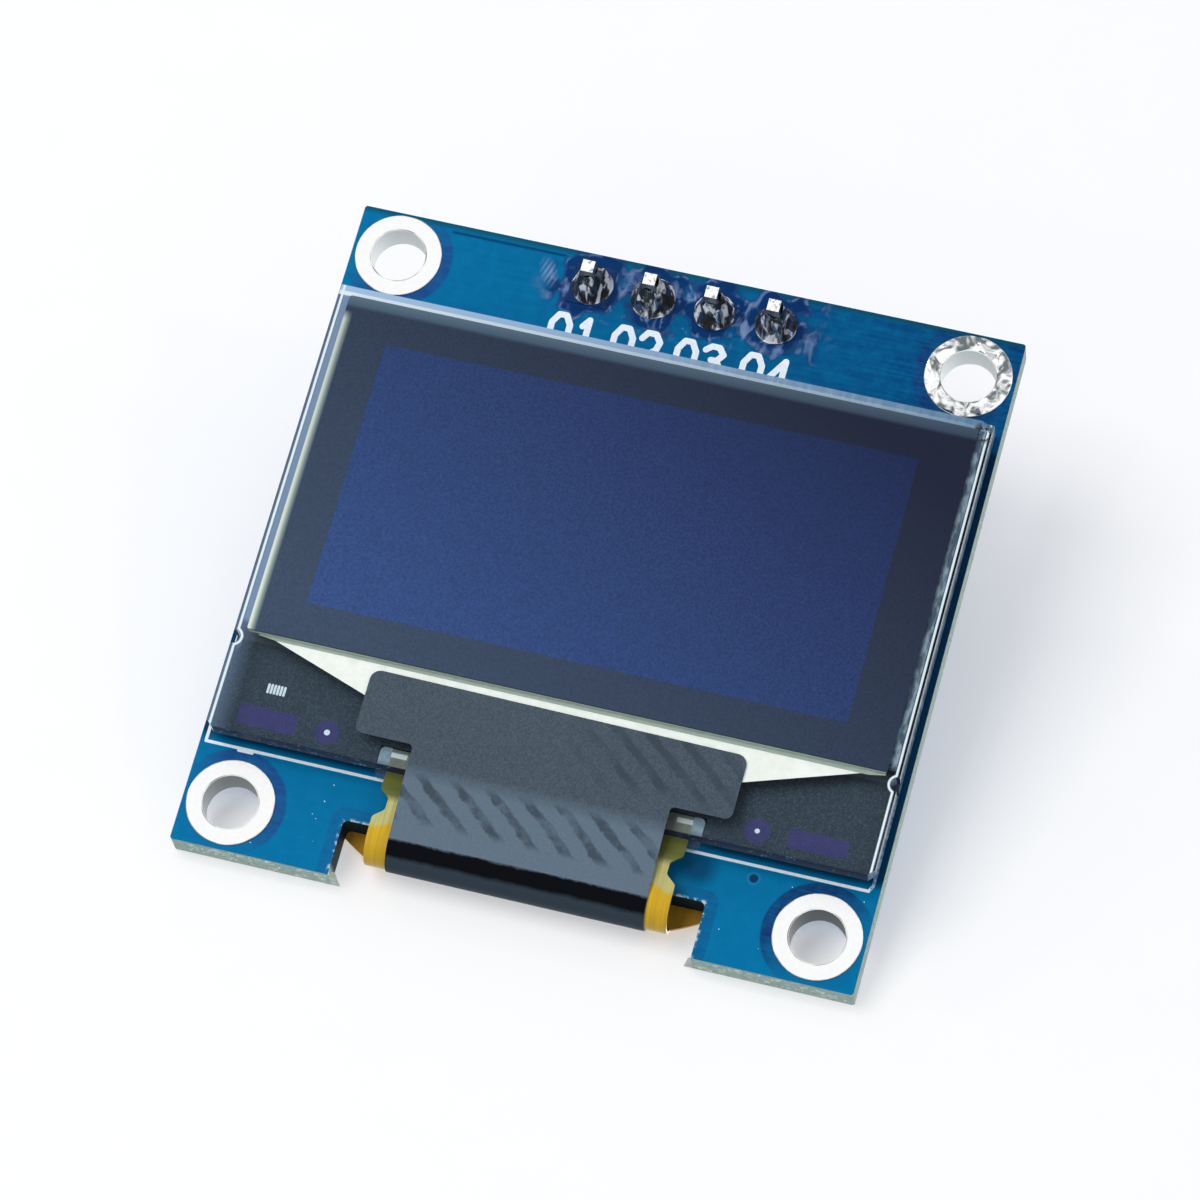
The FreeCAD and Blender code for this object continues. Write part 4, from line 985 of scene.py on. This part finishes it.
# Coated card: white, with a faint tooth of 2.5 mm. To the camera it also glows a little. Two small
# spots seen through the lower holes glow less, as painted shade, and below the board it glows more,
# lifting the shadow there as painted light.
white_table, add, spot = start("white_card_coated")
back_side = add("NewGeometry").outputs["Backfacing"]
tooth = add("TexNoise", spot, 0.4, 2.0)
lit_card = add("BsdfDiffuse", add("Mix RGBA", tooth, "#fcfdfe", "#ffffff"))
glow = add("Emission", "#ffffff", add("LightPath").outputs["Is Camera Ray"])
axes = add("SeparateXYZ", spot).outputs
past_x = add("Math SUBTRACT", add("Math ABSOLUTE", axes["X"]), 11.78)
past_z = add("Math ADD", axes["Z"], 11.79)
from_hole = add("VectorMath LENGTH", add("CombineXYZ", past_x, past_z))
# Painted shade and light: less glow in two spots seen through the lower holes, more glow below the
# board.
deep_shade = add("MapRange", axes["Z"], -12.9, -11.0, 0.3, 0.03)
half_shade = add("MapRange", axes["Z"], -13.6, -11.5, 0.52, 0.35)
lift = add("Mix FLOAT", add("MapRange", from_hole, 1.35, 1.6), deep_shade, half_shade)
card = add("MixShader", lift, lit_card, glow)
clear = add("BsdfTransparent", "#ffffff")
shader = add("MixShader", back_side, card, clear)
add("OutputMaterial", shader)
corners = [rest_foot + sideways * sx * table_reach + uphill * sz * table_reach
           for sx, sz in ((-1, -1), (1, -1), (1, 1), (-1, 1))]
mesh = bpy.data.meshes.new("table")
mesh.from_pydata([corner * MM for corner in corners], [], [(0, 1, 2, 3)])
mesh.materials.append(white_table)
table = new_object("table", mesh)
table.visible_diffuse = False
table.visible_glossy = False
table.visible_transmission = False
table.visible_shadow = False

# Room: white to the camera and in reflections, and a soft cool fill everywhere else.
world = bpy.data.worlds.new("white_room")
bpy.context.scene.world = world
world.use_nodes = True
world.node_tree.nodes.clear()
add = functools.partial(add_node, world.node_tree)
ray = add("LightPath").outputs
shown = add("Math MAXIMUM", ray["Is Camera Ray"], ray["Is Glossy Ray"])
shown = add("Math MAXIMUM", shown, ray["Is Transmission Ray"])
fill = add("Background", "#f2f6ff", 0.62)
seen = add("Background", "#ffffff", 1.0)
add("OutputWorld", add("MixShader", shown, fill, seen))

# Lamps: a soft key from the left, three small ones whose glints the solder and the glass catch,
# and a broad one behind for the back.
white = (1.0, 1.0, 1.0)
lamp_far = 600.0


def lamp(name, direction, size, power, tint=white):
    """Soft square lamp aimed at the middle of the module; its size is in millimetres."""
    light = bpy.data.lights.new(name, "AREA")
    light.size = size * MM
    light.energy = power
    light.color = tint
    holder = new_object(name, light)
    toward = Vector(direction).normalized()
    holder.location = toward * lamp_far * MM
    holder.rotation_mode = "QUATERNION"
    holder.rotation_quaternion = toward.to_track_quat("Z", "Y")
    return holder


key = lamp("key_left", table_up + Vector((-0.5, 0.0, 0.0)) - uphill * 0.2, 360, 1.75,
           (1.0, 0.985, 0.96))
key.visible_glossy = False
lamp("glint_upper_left", (-0.9, -0.55, 0.75), 40, 0.12)
lamp("glint_right", (0.75, -0.75, 0.25), 40, 0.1)
lamp("glint_low", (-0.3, -0.85, -0.7), 40, 0.1)
lamp("fill_back", (0.2, 1.0, 0.25), 400, 1.2)

# Camera: its place, turn and lens come from the board's corners and holes in the photograph.
camera_data = bpy.data.cameras.new("camera")
camera_data.lens = 184.898
camera_data.sensor_width = 36.0
camera_data.clip_start = 0.01
camera = new_object("camera", camera_data)
camera.location = Vector((41.053, -223.752, -82.996)) * MM
camera.rotation_euler = [math.radians(a) for a in (110.77447, -15.08303, 4.80689)]
bpy.context.scene.camera = camera
bpy.context.scene.view_settings.view_transform = "Standard"
